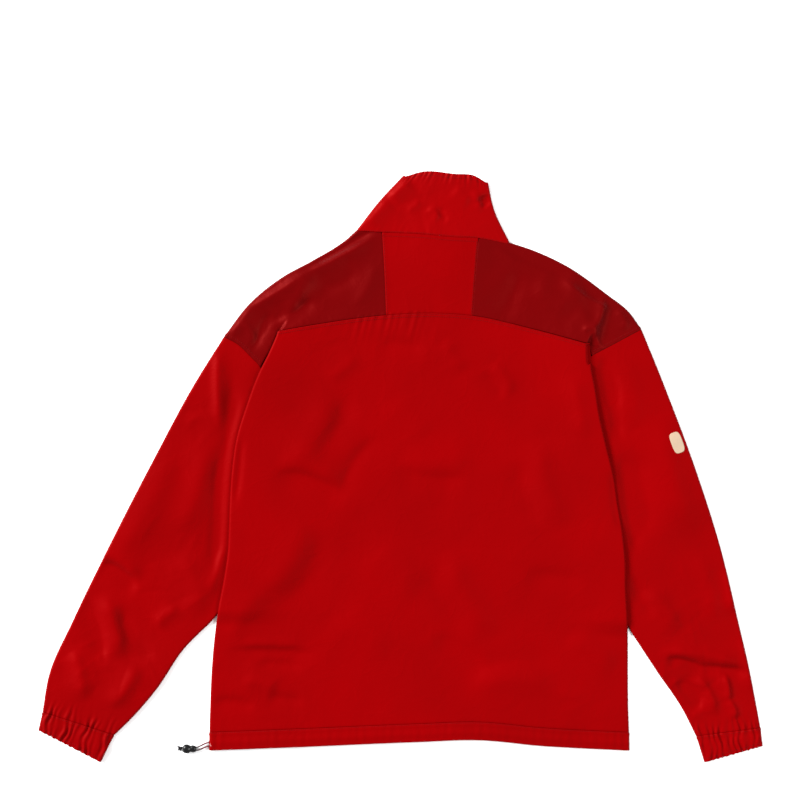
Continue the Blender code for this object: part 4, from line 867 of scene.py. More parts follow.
def make_shoulder(side, material):
    """Shoulder: front yoke on the floor, turn at the shoulder line, back shoulder down to the lower back."""
    sign = 1.0 if side == "left" else -1.0
    shown = fraction_at(ARMHOLE[side], ARMHOLE_SHOWN)
    rows = stations(100.0, 2.8)
    armhole_back = armhole(side, shown * rows)
    corner = np.array(BACK_SEAM[0] if side == "left" else BACK_SEAM[-1]) + (-0.6 * sign, 0.5)
    last = armhole_back[-1]
    level = (corner[1] + last[1]) / 2
    hidden = np.array((float(roll_line(level, side)) - 0.3 * sign, level))
    yoke_share = YOKE_SHARES[0] if side == "left" else YOKE_SHARES[1]
    edge_share = 0.0 if side == "left" else 1.0
    seam = seam_point(seam_x(np.linspace(yoke_share, edge_share + 0.02 * sign, 60)))
    inner = np.concatenate((seam, np.linspace(corner, hidden, 5), np.linspace(hidden, last, 9)[1:]))
    columns = stations(280.0, 2.8)
    share = shares(inner)
    inner = np.stack([np.interp(columns, share, inner[:, axis]) for axis in (0, 1)], axis=-1)
    line = along(SHOULDER[side], columns)
    normals = eased_normals(line, (ZIP_LINE[1][0], 0.0), neck_normal(side), shoulder_normals(side)[0])
    outer = line + normals * TURN_R
    neck_end = between(neck_edge(NECK_SEAM, (yoke_ends()[0] * (stations(30.0, 2.8)) if side == "left"
                                             else 1 - (1 - yoke_ends()[1]) * stations(30.0, 2.8))), outer[0],
                       yoke_side(side, (0.0, 1.0))[0])
    side_line = np.concatenate((neck_end, yoke_side(side, np.linspace(0.0, 1.0, 60))[1:]))
    part = shares(side_line)
    side_line = np.stack([np.interp(rows, part, side_line[:, axis]) for axis in (0, 1)], axis=-1)
    back_part = with_height(coons(outer, inner, side_line, armhole_back), body_top)
    depth = FRONT_YOKE_DEPTH * stations(45.0, 3.5)
    neck_front = neck_edge(FRONT_NECK, depth if side == "left" else 1 - depth)
    armhole_front = armhole(side, depth)
    across = shares(outer)[:, None]
    yoke_line = (1 - across) * neck_front[-1] + across * armhole_front[-1]
    front_part = with_height(coons(outer, yoke_line, neck_front, armhole_front), low_face)
    rolled = turn(line, normals, low_face(*outer.T), body_top(*outer.T))
    grid = np.concatenate((front_part[::-1], rolled[1:], back_part[1:]), axis=0)
    return cloth(f"shoulder_panel_{side}", grid, material, f"shoulder_{side}", "dark_shell",
                 seams=(("first_row", 0.0, 0.12), ("last_row", 0.0, 0.15), ("first_column", 0.0, 0.12),
                        ("last_column", 1.0, 0.15)),
                 stitched=(("last_column", STITCH_FROM_SEAM),), seed=121)


def make_sleeve(side, material):
    """Sleeve: a flattened tube from the armhole to the cuff."""
    rows = stations(600.0, 3.3)
    outer, inner = along(SLEEVE_OUTER[side], rows), along(SLEEVE_INNER[side], rows)
    start = (armhole(side, stations(230.0, 3.4, near_seams=False)),
             armhole(side, stations(230.0, 5.0, near_seams=False)))
    end = [outer[-1] + shares(edge)[:, None] * (inner[-1] - outer[-1]) for edge in start]

    def low(x, y):
        return np.maximum(low_face(x, y) + 0.7 * cuff_gathers(x, y, side), 0.0)

    grid = tube(outer, inner, start, end, sleeve_top(side), low, shoulder_normals(side), cuff_normals(side))
    return cloth(f"sleeve_panel_{side}", grid, material, f"sleeve_{side}", "red_shell",
                 seams=(("first_row", 0.0, 0.12), ("last_row", 0.0, 0.1)), closed=True, seed=131)


def make_cuff(side, material):
    """Cuff: the elastic's casing at a sleeve's end, puffed between its seams and scalloped at its end."""
    rows = stations(32.0, 2.2)[:, None]
    ends = [np.array(line[-1]) for line in (SLEEVE_OUTER[side], SLEEVE_INNER[side])]
    outer, inner = (end + rows * (np.array(far) - end) for end, far in zip(ends, CUFF_END[side]))
    across = [stations(100.0, step, near_seams=False)[:, None] for step in (1.5, 2.0)]
    down = cuff_frame(side)[2]
    start = [outer[0] + share * (inner[0] - outer[0]) for share in across]
    end = [outer[-1] + share * (inner[-1] - outer[-1]) for share in across]
    end = [edge + (0.9 * ripple(shares(edge) * 100.0, CUFF_PITCH * 1.1, 77))[:, None] * down
           * np.sin(math.pi * shares(edge))[:, None] ** 0.5 for edge in end]
    seam = ends[0]

    def puff(x, y):
        past = ((x - seam[0]) * down[0] + (y - seam[1]) * down[1]) / 34.0
        return CUFF_PUFF * np.sin(math.pi * np.clip(past, 0.0, 1.0))

    grid = tube(outer, inner, start, end,
                lambda x, y: TOP + cuff_gathers(x, y, side) + puff(x, y),
                lambda x, y: np.maximum(0.8 * cuff_gathers(x, y, side), 0.0), cuff_normals(side))
    return cloth(f"cuff_casing_{side}", grid, material, f"cuff_{side}", "red_shell",
                 seams=(("first_row", 1.0, 0.1),), stitched=(("first_row", 2.2), ("last_row", 5.0)),
                 closed=True, seed=141)


def make_hem(material):
    """Hem casing round the whole body, puffed by the drawcord inside it."""
    rows = stations(HEM_DEPTH, 2.4)[:, None]
    outer, inner = (np.array((table[0][1], table[0][0])) + rows * (np.array(end) - (table[0][1], table[0][0]))
                    for table, end in ((BODY_SIDE["left"], HEM_EDGE[0]), (BODY_SIDE["right"], HEM_EDGE[-1])))
    reach = inner[0, 0] - outer[0, 0] - 2 * TURN_R
    x = outer[0, 0] + TURN_R + reach * stations(560.0, 2.8, near_seams=False)
    start, end = hem_point(x, HEM_DEPTH), hem_point(x, 0.0)
    normals = (np.array((1.0, 0.0)), np.array((-1.0, 0.0)))

    def above(x, y):
        return np.clip((y - hem_point(x, 0.0)[..., 1]) / HEM_DEPTH, 0.0, 1.0)

    def top(x, y):
        corner = smooth((x - 270.0) / 30.0) + 0.6 * smooth((-225.0 - x) / 25.0)
        pucker = (0.28 + 0.5 * corner) * ripple(x, 12.0, 81) * np.sin(math.pi * above(x, y)) ** 0.5
        cord = 0.5 * np.exp(-((above(x, y) - 0.42) / 0.14) ** 2)
        return body_top(x, y) + HEM_PUFF * np.sin(math.pi * above(x, y)) ** 0.7 + pucker + cord

    def low(x, y):
        return np.maximum(low_face(x, y) + 0.4 * ripple(x, 14.0, 83) * np.sin(math.pi * above(x, y)), 0.0)

    grid = tube(outer, inner, (start, start), (end, end), top, low, normals, normals)
    return cloth("hem_casing", grid, material, "hem", "red_shell", seams=(("first_row", 1.0, 0.18),),
                 stitched=(("first_row", 1.6),), closed=True, seed=151)


def make_front(material):
    """Front panel, flat on the floor, with the zip's opening down from the neck."""
    body_rows, sleeve_rows = stations(307.0, 4.2), stations(190.0, 4.2)[1:]
    halves = []
    for side, sign in (("left", 1.0), ("right", -1.0)):
        table = np.array(BODY_SIDE[side])
        levels = table[0, 0] + (UNDERARM_Y - 3.0 - table[0, 0]) * body_rows
        seam = np.stack((hermite(table[:, 0], table[:, 2], levels) + sign * 0.7, levels), axis=-1)
        edge = np.concatenate((seam, armhole(side, 1.0 + (FRONT_YOKE_DEPTH - 1.0) * sleeve_rows)))
        slot_x = ZIP_LINE[0][0] - sign * ZIP_SLOT
        neck_from = FRONT_YOKE_DEPTH if side == "left" else 1 - FRONT_YOKE_DEPTH
        neckline = neck_edge(FRONT_NECK, neck_from + (neck_share(slot_x) - neck_from) * stations(110.0, 4.0))
        share = stations(140.0, 4.2)[:-1, None]
        top = np.concatenate(((1 - share) * edge[-1] + share * neckline[0], neckline))
        bottom = hem_point(edge[0, 0] + (slot_x - edge[0, 0]) * shares(top), HEM_DEPTH)
        bottom = between(bottom, edge[0], bottom[-1])
        slot_row = len(body_rows) + 20
        rows = np.interp(np.arange(len(edge)), (0, slot_row, len(edge) - 1),
                         (bottom[-1, 1], ZIP_LINE[0][1], top[-1, 1]))
        halves.append(coons(bottom, top, edge, np.stack((np.full(len(rows), slot_x), rows), axis=-1)))
    grid = with_height(np.concatenate((halves[0], halves[1][:, ::-1]), axis=1), low_face)
    return cloth("front_panel", grid, material, "front", "red_shell",
                 seams=(("first_row", 0.0, 0.0), ("last_row", 0.0, 0.0)), down=True,
                 left_out=(slot_row, halves[0].shape[1] - 1), seed=161)


def make_collar(material):
    """Stand collar: front left half, turn, back, turn, front right half, open at the zip."""
    rows = stations(86.0, 2.2)
    sides, slots = {}, {}
    for side, sign in (("left", 1.0), ("right", -1.0)):
        edge = along(COLLAR_SIDE[side], rows)
        normals = eased_normals(edge, (ZIP_LINE[2][0], edge[len(edge) // 2, 1]), neck_normal(side), reach=0.2)
        sides[side] = (edge, normals, edge + normals * TURN_R)
        end = 0.0 if side == "left" else 1.0
        near_slot = neck_share(ZIP_LINE[1][0] - sign * ZIP_SLOT)
        bottom = neck_edge(FRONT_NECK, end + (near_slot - end) * stations(150.0, 2.6))
        upper_line = along(COLLAR_FRONT_TOP, np.linspace(0.0, 1.0, 400))
        slot_top = np.array((ZIP_LINE[2][0] - sign * ZIP_SLOT, ZIP_LINE[2][1] + 1.0))
        half = upper_line[upper_line[:, 0] * sign < slot_top[0] * sign]
        half = half if side == "left" else half[::-1]
        top = between(along(half[::12], shares(bottom)), sides[side][2][-1], slot_top)
        slot = bottom[-1] + rows[:, None] * (slot_top - bottom[-1])
        slots[side] = with_height(coons(bottom, top, sides[side][2], slot), low_face)
    bottom = neck_edge(NECK_SEAM, stations(200.0, 2.2, near_seams=False))
    top = between(along(COLLAR_TOP, shares(bottom)), sides["left"][2][-1], sides["right"][2][-1])
    across, height = shares(bottom)[None], rows[:, None]

    def back_face(x, y):
        return body_base(x, y) + table_height(x, y, COLLAR_FOLDS)

    upper = with_height(coons(bottom, top, sides["left"][2], sides["right"][2]), back_face)
    upper[..., 2] += COLLAR_LOFT * np.sin(math.pi * across) * np.sin(math.pi / 2 * height)
    upper[..., 2] += (0.9 * ripple(across * 130.0, 8.5, 91) * np.exp(-((1 - height) * 86.0 / 11.0) ** 2)
                      * smooth(across * 10.0) * smooth((1 - across) * 10.0))
    turns = {side: np.swapaxes(turn(edge, normals, low_face(*flat.T), back_face(*flat.T)), 0, 1)
             for side, (edge, normals, flat) in sides.items()}
    grid = np.concatenate((slots["left"][:, ::-1], turns["left"][:, 1:], upper[:, 1:-1],
                           turns["right"][:, ::-1], slots["right"][:, 1:]), axis=1)
    return cloth("stand_collar", grid, material, "collar", "red_shell",
                 seams=(("first_row", 0.0, 0.18), ("last_row", 0.0, 0.25)),
                 stitched=(("last_row", 6.0), ("first_row", 1.6)), seed=171)


# Trims

def stitches_mesh(name, lines, spacing, length, radius):
    """Rows of stitches: along each line, at even spacing, a short thread that swells from its two ends to
    its middle and lies on the cloth. Each is five rings of five points."""
    swell = np.array((0.25, 0.85, 1.0, 0.85, 0.25))
    reach = np.array((-0.5, -0.32, 0.0, 0.32, 0.5)) * length
    sides = 5
    angle = np.linspace(0.0, 2 * math.pi, sides, endpoint=False)
    points, faces, made = [], [], 0
    for line, facing in lines:
        run = np.concatenate(([0.0], np.cumsum(np.linalg.norm(np.diff(line, axis=0), axis=1))))
        at = np.arange(spacing, run[-1] - spacing, spacing)
        middle = np.stack([np.interp(at, run, line[:, axis]) for axis in range(3)], axis=-1)
        ahead = np.stack([np.interp(at + 0.4 * spacing, run, line[:, axis]) for axis in range(3)], axis=-1)
        normal = np.stack([np.interp(at, run, facing[:, axis]) for axis in range(3)], axis=-1)
        normal /= np.linalg.norm(normal, axis=1)[:, None]
        tangent = ahead - middle
        tangent /= np.linalg.norm(tangent, axis=1)[:, None]
        side = np.cross(tangent, normal)
        centre = middle[:, None] + tangent[:, None] * reach[None, :, None] + normal[:, None] * radius * 0.35
        centre[..., 2] = np.maximum(centre[..., 2], radius * 0.9)
        ring = (np.cos(angle)[None, :, None] * side[:, None] + np.sin(angle)[None, :, None] * normal[:, None])
        rings = centre[:, :, None] + ring[:, None] * (radius * swell)[None, :, None, None]
        row, around = np.divmod(np.arange(4 * sides), sides)
        here, after = row * sides + around, row * sides + (around + 1) % sides
        quads = np.stack((here, after, after + sides, here + sides), axis=1)
        start = made + np.arange(len(at)) * 5 * sides
        faces += (quads[None] + start[:, None, None]).reshape(-1, 4).tolist()
        caps = np.stack((np.arange(sides)[::-1], np.arange(sides) + 4 * sides))
        faces += (caps[None] + start[:, None, None]).reshape(-1, sides).tolist()
        points.append(rings.reshape(-1, 3))
        made += len(at) * 5 * sides
    mesh = bpy.data.meshes.new(name)
    mesh.from_pydata((np.concatenate(points) * MM).tolist(), [], faces)
    mesh.shade_smooth()
    return mesh


def make_cord(side, material):
    """Round braided cord: a tube whose radius swells where two sets of strands cross."""
    path = along(CORD_ROUTE[side], np.linspace(0.0, 1.0, 110))
    run = shares(path) * 37.0
    angle = np.linspace(0.0, 2 * math.pi, 24, endpoint=False)
    strands = (np.sin(4 * angle[None] + run[:, None] * 2.1) * np.sin(4 * angle[None] - run[:, None] * 2.1))
    radius = CORD_R * (0.96 + 0.05 * strands)
    piece = place(f"drawcord_{side}", round_tube(f"drawcord_{side}", path, radius), material,
                  (f"hem_cord_{side}",), "cord")
    return piece, path * MM


def bored(mesh, name, material):
    """Cuts the two cord bores out of the stopper's body."""
    blank = bpy.data.objects.new("stopper_blank", mesh)
    bpy.context.scene.collection.objects.link(blank)
    cutters = []
    x, y, z = STOPPER_CENTRE
    for step in (BORE_STEP, -BORE_STEP):
        path = np.stack((np.linspace(x - 20.0, x + 20.0, 4), np.full(4, y + step), np.full(4, z)), axis=-1)
        cutter = bpy.data.objects.new("bore", round_tube("bore", path, np.full((4, 20), BORE_R)))
        bpy.context.scene.collection.objects.link(cutter)
        cut = blank.modifiers.new("bore", "BOOLEAN")
        cut.object = cutter
        cut.operation = "DIFFERENCE"
        cutters.append(cutter)
    evaluated = blank.evaluated_get(bpy.context.evaluated_depsgraph_get())
    body = bpy.data.meshes.new_from_object(evaluated)
    body.name = name
    for used in (blank, *cutters):
        bpy.data.objects.remove(used)
    body.materials.clear()
    body.shade_smooth()
    body.set_sharp_from_angle(angle=math.radians(50.0))
    return place(name, body, material, ("cord_toggle",), "toggle")


def make_stopper(material):
    """Cord stopper: two lobes turned about its length and flattened, with two bores through it."""
    profile = along(STOPPER_PROFILE, np.linspace(0.0, 1.0, 61))[1:-1]
    angle = np.linspace(0.0, 2 * math.pi, 48, endpoint=False)
    x = np.broadcast_to(profile[:, :1], (len(profile), len(angle)))
    across, up = profile[:, 1:] * np.cos(angle)[None], profile[:, 1:] * np.sin(angle)[None] * STOPPER_FLAT
    points, faces = loft(np.stack((x, across, up), axis=-1) + np.array(STOPPER_CENTRE))
    mesh = bpy.data.meshes.new("stopper_body")
    mesh.from_pydata((points * MM).tolist(), [], faces)
    return bored(mesh, "cord_stopper", material)


def joined(name, parts):
    """One mesh of several loose ones."""
    points, faces, made = [], [], 0
    for part_points, part_faces in parts:
        points.append(part_points)
        faces += [[made + corner for corner in face] for face in part_faces]
        made += len(part_points)
    mesh = bpy.data.meshes.new(name)
    mesh.from_pydata((np.concatenate(points) * MM).tolist(), [], faces)
    mesh.shade_smooth()
    return mesh


def make_knot(material):
    """Knot that ties the cords' ends: a threefold knot of the cord's own thickness, with two cut ends."""
    t = np.linspace(0.0, 2 * math.pi, 97)
    loops = np.stack((np.sin(t) + 2 * np.sin(2 * t), np.cos(t) - 2 * np.cos(2 * t), -1.1 * np.sin(3 * t)),
                     axis=-1)
    parts = [tube_parts(loops * 0.78 + np.array(KNOT_CENTRE), 0.95)]
    for rise, reach in ((1.6, 2.6), (-1.8, 2.0)):
        start = np.array(KNOT_CENTRE) + (-1.2, rise * 0.6, -0.6)
        parts.append(tube_parts(along((start, start + (-1.3, rise * 0.5, -0.5), start + (-reach, rise, -1.2)),
                                      np.linspace(0.0, 1.0, 9)), 0.9))
    return place("cord_end_knot", joined("cord_end_knot", parts), material, ("cord_knot",), "cord")


def eyelet_parts(centre, radius, thread):
    """Stitched eyelet: a ring round an axis along X, its thread swelling at each stitch."""
    around = np.linspace(0.0, 2 * math.pi, 48, endpoint=False)[:, None]
    about = np.linspace(0.0, 2 * math.pi, 8, endpoint=False)[None, :]
    thick = thread * (1 + 0.18 * np.cos(12 * around))
    reach = radius + thick * np.cos(about)
    rings = np.stack((thick * np.sin(about), reach * np.cos(around), reach * np.sin(around)), axis=-1)
    row, side = np.divmod(np.arange(48 * 8), 8)
    after = (row + 1) % 48
    faces = np.stack((row * 8 + side, row * 8 + (side + 1) % 8, after * 8 + (side + 1) % 8, after * 8 + side),
                     axis=1).tolist()
    return rings.reshape(-1, 3) + np.array(centre), faces


def make_eyelets(thread, tack):
    """Two eyelets where the cords leave the hem, and the bar of thread that strengthens the cloth between."""
    parts = [eyelet_parts((route[0][0] + 0.5, *route[0][1:]), 1.65, 0.45) for route in CORD_ROUTE.values()]
    place("drawcord_eyelets", joined("drawcord_eyelets", parts), thread, slot="dark_shell")
    y = np.linspace(-376.4, -372.8, 7)
    bars = []
    for number, level in enumerate(y):
        x = np.linspace(-257.4 + 0.15 * (number % 2), -254.6 - 0.15 * (number % 2), 7)
        z = body_top(x, np.full(7, level)) + HEM_PUFF * 0.5 + 0.55 - 0.25 * ((x + 256.0) / 1.5) ** 2
        bars.append(tube_parts(np.stack((x, np.full(7, level), z), axis=-1), 0.34, 6))
    place("hem_bar_tack", joined("hem_bar_tack", bars), tack, slot="red_shell")


def zip_x(y):
    """Place across of the zip's middle at given levels."""
    return np.interp(y, [point[1] for point in ZIP_LINE], [point[0] for point in ZIP_LINE])


def make_zip_teeth(material):
    """Zip teeth: rounded blocks from both tapes, by turns across the middle where the zip is closed."""
    closed = np.arange(ZIP_LINE[0][1] + 1.5, SLIDER_Y - 5.0, TOOTH_PITCH)
    opened = np.arange(SLIDER_Y + 6.0, ZIP_LINE[2][1] - 1.0, TOOTH_PITCH)
    swell, sides = np.array((0.55, 1.0, 1.0, 0.6)), 8
    angle = np.linspace(0.0, 2 * math.pi, sides, endpoint=False) + math.pi / 8
    parts = []
    for sign, shift in ((-1.0, 0.0), (1.0, TOOTH_PITCH / 2)):
        y = np.concatenate((closed + shift, opened + shift))
        apart = np.concatenate((np.zeros(len(closed)), np.full(len(opened), 1.3)))
        middle = zip_x(y)
        z = 0.8 + FRONT_LOFT * bell(middle, y, FRONT_SPREAD)
        reach = sign * (np.linspace(-TOOTH_INNER, TOOTH_REACH, 4)[None] + apart[:, None])
        centre = np.stack((middle[:, None] + reach, np.repeat(y[:, None], 4, axis=1),
                           np.repeat(z[:, None], 4, axis=1)), axis=-1)
        ring = np.stack((np.zeros(sides), 0.42 * np.cos(angle), 0.72 * np.sin(angle)), axis=-1)
        rings = centre[:, :, None] + ring[None, None] * swell[None, :, None, None]
        parts += [loft(tooth[::-1] if sign > 0 else tooth) for tooth in rings]
    return place("zip_teeth", joined("zip_teeth", parts), material, slot="zip_metal")


def make_sleeve_patch(material):
    """Plain rounded patch near the outer edge of the right sleeve, following its cloth."""
    run = np.array(SLEEVE_OUTER["right"][2]) - np.array(SLEEVE_OUTER["right"][1])
    run = run / np.linalg.norm(run)
    side = np.array((-run[1], run[0]))
    centre = np.array((373.0, 33.0))
    angle = np.linspace(0.0, 2 * math.pi, 72, endpoint=False)
    power = 2 / 3.6
    outline = (np.sign(np.cos(angle)) * np.abs(np.cos(angle)) ** power * 14.5,
               np.sign(np.sin(angle)) * np.abs(np.sin(angle)) ** power * 7.8)
    size = np.concatenate(((1.0, 1.0, 0.985, 0.95), np.linspace(0.9, 0.06, 14)))
    lift = np.concatenate(((-0.3, 0.15, 0.42, 0.5), np.full(14, 0.52)))
    edge = outline[0][None, :, None] * run + outline[1][None, :, None] * side
    flat = centre + size[:, None, None] * edge
    height = sleeve_top("right")(flat[..., 0], flat[..., 1]) + lift[:, None]
    parts = [loft(np.concatenate((flat, height[..., None]), axis=-1)[:, ::-1])]
    return place("sleeve_patch", joined("sleeve_patch", parts), material, slot="red_shell")


# Materials

def node(tree, kind, inputs=None, **fields):
    """Adds a node, sets its fields, then links or sets its inputs."""
    made = tree.nodes.new(kind)
    for field, value in fields.items():
        setattr(made, field, value)
    for socket, value in (inputs or {}).items():
        if isinstance(value, bpy.types.NodeSocket):
            tree.links.new(value, made.inputs[socket])
        else:
            made.inputs[socket].default_value = value
    return made


def maths(tree, operation, first, second=0.5, clamp=False):
    """Output of one maths node."""
    made = node(tree, "ShaderNodeMath", {0: first, 1: second}, operation=operation, use_clamp=clamp)
    return made.outputs[0]


def mixed(tree, factor, first, second):
    """Output of one colour mix."""
    return node(tree, "ShaderNodeMix", {0: factor, 6: first, 7: second}, data_type="RGBA").outputs[2]


def new_group(name, inputs, outputs):
    """Shader node group with its named sockets; gives its tree, its input node and its output node."""
    tree = bpy.data.node_groups.new(name, "ShaderNodeTree")
    for label, kind, default in inputs:
        socket = tree.interface.new_socket(label, in_out="INPUT", socket_type=kind)
        if default is not None:
            socket.default_value = default
    for label, kind in outputs:
        tree.interface.new_socket(label, in_out="OUTPUT", socket_type=kind)
    return tree, tree.nodes.new("NodeGroupInput"), tree.nodes.new("NodeGroupOutput")


def plain_weave():
    """Plain weave: threads over and under by turns, as the product of a sine along each direction."""
    tree, given, result = new_group(
        "Plain weave", (("Vector", "NodeSocketVector", None), ("Threads", "NodeSocketFloat", 2200.0)),
        (("Height", "NodeSocketFloat"),))
    parts = node(tree, "ShaderNodeSeparateXYZ", {0: given.outputs["Vector"]})
    turns = maths(tree, "MULTIPLY", given.outputs["Threads"], math.pi)
    waves = [maths(tree, "SINE", maths(tree, "MULTIPLY", parts.outputs[axis], turns)) for axis in (0, 1)]
    both = maths(tree, "MULTIPLY", waves[0], waves[1])
    tree.links.new(maths(tree, "MULTIPLY_ADD", both, 0.5), result.inputs["Height"])
    return tree


def fine_crinkle():
    """Fine creases of thin stiff cloth: noise folded about its middle, so that it runs in sharp lines."""
    tree, given, result = new_group(
        "Fine crinkle", (("Vector", "NodeSocketVector", None), ("Scale", "NodeSocketFloat", 30.0),
                         ("Sharpness", "NodeSocketFloat", 2.5)),
        (("Height", "NodeSocketFloat"),))
    noise = node(tree, "ShaderNodeTexNoise", {
        "Vector": given.outputs["Vector"], "Scale": given.outputs["Scale"],
        "Detail": 3.0, "Roughness": 0.5, "Distortion": 0.6})
    off = maths(tree, "ABSOLUTE", maths(tree, "SUBTRACT", noise.outputs[0], 0.5))
    line = maths(tree, "SUBTRACT", 1.0, maths(tree, "MULTIPLY", off, 4.0, clamp=True))
    tree.links.new(maths(tree, "POWER", line, given.outputs["Sharpness"]), result.inputs["Height"])
    return tree


def cloth_tone_and_seam_shade():
    """Uneven tone of dyed cloth in broad patches and faint streaks, and painted shade: a darker line along
    its seams, where their dips are shaded.
    """
    tree, given, result = new_group(
        "Cloth tone and seam shade", (("Vector", "NodeSocketVector", None),
                       ("Colour", "NodeSocketColor", (0.4, 0.0, 0.0, 1.0)),
                       ("Shade", "NodeSocketColor", (0.3, 0.0, 0.0, 1.0)),
                       ("Amount", "NodeSocketFloat", 0.5), ("Seam", "NodeSocketFloat", 0.0)),
        (("Colour", "NodeSocketColor"), ("Wear", "NodeSocketFloat")))
    broad = node(tree, "ShaderNodeTexNoise", {"Vector": given.outputs["Vector"], "Scale": 7.0, "Detail": 3.0})
    fine = node(tree, "ShaderNodeTexNoise", {"Vector": given.outputs["Vector"], "Scale": 160.0,
                                             "Detail": 2.0})
    patch = node(tree, "ShaderNodeMapRange", {"Value": broad.outputs[0], "From Min": 0.35, "From Max": 0.68})
    speck = maths(tree, "MULTIPLY", fine.outputs[0], 0.22)
    uneven = maths(tree, "MULTIPLY", maths(tree, "ADD", patch.outputs[0], speck), given.outputs["Amount"])
    # painted shade: the cloth darkened along its seams, where their dips are shaded
    seam = maths(tree, "MULTIPLY", maths(tree, "POWER", given.outputs["Seam"], 6.0), 0.2)
    factor = maths(tree, "ADD", uneven, seam, clamp=True)
    tree.links.new(mixed(tree, factor, given.outputs["Colour"], given.outputs["Shade"]),
                   result.inputs["Colour"])
    tree.links.new(patch.outputs[0], result.inputs["Wear"])
    return tree


GROUPS = {}
GROUP_MAKERS = {"weave": plain_weave, "crinkle": fine_crinkle, "tone": cloth_tone_and_seam_shade}


def group(name):
    """The named node group, made when it is first asked for."""
    if name not in GROUPS:
        GROUPS[name] = GROUP_MAKERS[name]()
    return GROUPS[name]


def new_material(name, **sockets):
    """Material with its Principled BSDF, whose even values are set on its own sockets."""
    material = bpy.data.materials.new(name)
    material.use_nodes = True
    tree = material.node_tree
    shader = tree.nodes["Principled BSDF"]
    for socket, value in sockets.items():
        shader.inputs[socket.replace("_", " ")].default_value = value
    return material, tree, shader


def woven(name, colour, shade, roughness, sheen, glint, threads=2400.0, amount=0.5):
    """Woven outer cloth: uneven tone and painted shade along its seams, weave and fine creases in its relief,
    and a satin gloss of its own colour, stronger and less rough where the cloth is smooth."""
    material, tree, shader = new_material(name)
    tint = (1.0, 0.05, 0.04, 1.0)
    for socket, value in (("Specular IOR Level", glint), ("Specular Tint", tint), ("Sheen Weight", sheen),
                          ("Sheen Roughness", 0.35), ("Sheen Tint", tint)):
        shader.inputs[socket].default_value = value
    place_of = node(tree, "ShaderNodeTexCoord").outputs["Object"]
    along_cloth = node(tree, "ShaderNodeUVMap", uv_map="cloth").outputs[0]
    # nearness to a seam, which darkens the colour as painted seam shade
    seam = node(tree, "ShaderNodeAttribute", attribute_name="seam").outputs["Fac"]
    tone = node(tree, "ShaderNodeGroup", {
        "Vector": place_of, "Colour": (*colour, 1.0), "Shade": (*shade, 1.0),
        "Amount": amount, "Seam": seam}, node_tree=group("tone"))
    crease = node(tree, "ShaderNodeGroup", {"Vector": place_of, "Scale": 26.0, "Sharpness": 3.0},
                  node_tree=group("crinkle"))
    small = node(tree, "ShaderNodeGroup", {"Vector": place_of, "Scale": 85.0, "Sharpness": 2.0},
                 node_tree=group("crinkle"))
    weave = node(tree, "ShaderNodeGroup", {"Vector": along_cloth, "Threads": threads},
                 node_tree=group("weave"))
    folds = node(tree, "ShaderNodeBump", {"Strength": 0.3, "Distance": 0.0005, "Height": crease.outputs[0]})
    finer = node(tree, "ShaderNodeBump", {"Strength": 0.2, "Distance": 0.0002, "Height": small.outputs[0],
                                          "Normal": folds.outputs[0]})
    threads_up = node(tree, "ShaderNodeBump", {
        "Strength": 0.25, "Distance": 0.00006, "Height": weave.outputs[0], "Normal": finer.outputs[0]})
    gloss = node(tree, "ShaderNodeMapRange", {"Value": tone.outputs["Wear"], "To Min": roughness - 0.06,
                                              "To Max": roughness + 0.06})
    tree.links.new(tone.outputs["Colour"], shader.inputs["Base Color"])
    tree.links.new(gloss.outputs[0], shader.inputs["Roughness"])
    tree.links.new(threads_up.outputs[0], shader.inputs["Normal"])
    return material


def plain_thread(name, colour, shade):
    """Twisted sewing thread: two tones in fine slanted bands."""
    material, tree, shader = new_material(name, Roughness=0.7)
    shader.inputs["Specular IOR Level"].default_value = 0.08
    place_of = node(tree, "ShaderNodeTexCoord").outputs["Object"]
    band = node(tree, "ShaderNodeTexWave", {"Vector": place_of, "Scale": 900.0, "Distortion": 1.0},
                bands_direction="DIAGONAL")
    tree.links.new(mixed(tree, band.outputs["Fac"], (*colour, 1.0), (*shade, 1.0)),
                   shader.inputs["Base Color"])
    return material


def braided(name, colour, shade, tip):
    """Braided cord: crossing strands in two tones, darkening from the hem to the stopper."""
    material, tree, shader = new_material(name, Roughness=0.75)
    place_of = node(tree, "ShaderNodeTexCoord").outputs["Object"]
    parts = node(tree, "ShaderNodeSeparateXYZ", {0: place_of})
    strands = node(tree, "ShaderNodeTexWave", {"Vector": place_of, "Scale": 420.0, "Distortion": 0.4},
                   bands_direction="DIAGONAL")
    toward = node(tree, "ShaderNodeMapRange", {"Value": parts.outputs[0], "From Min": -0.262,
                                               "From Max": -0.276})
    body = mixed(tree, strands.outputs["Fac"], (*colour, 1.0), (*shade, 1.0))
    tree.links.new(mixed(tree, toward.outputs[0], body, (*tip, 1.0)), shader.inputs["Base Color"])
    bump = node(tree, "ShaderNodeBump", {"Strength": 0.5, "Distance": 0.0001,
                                         "Height": strands.outputs["Fac"]})
    tree.links.new(bump.outputs[0], shader.inputs["Normal"])
    return material


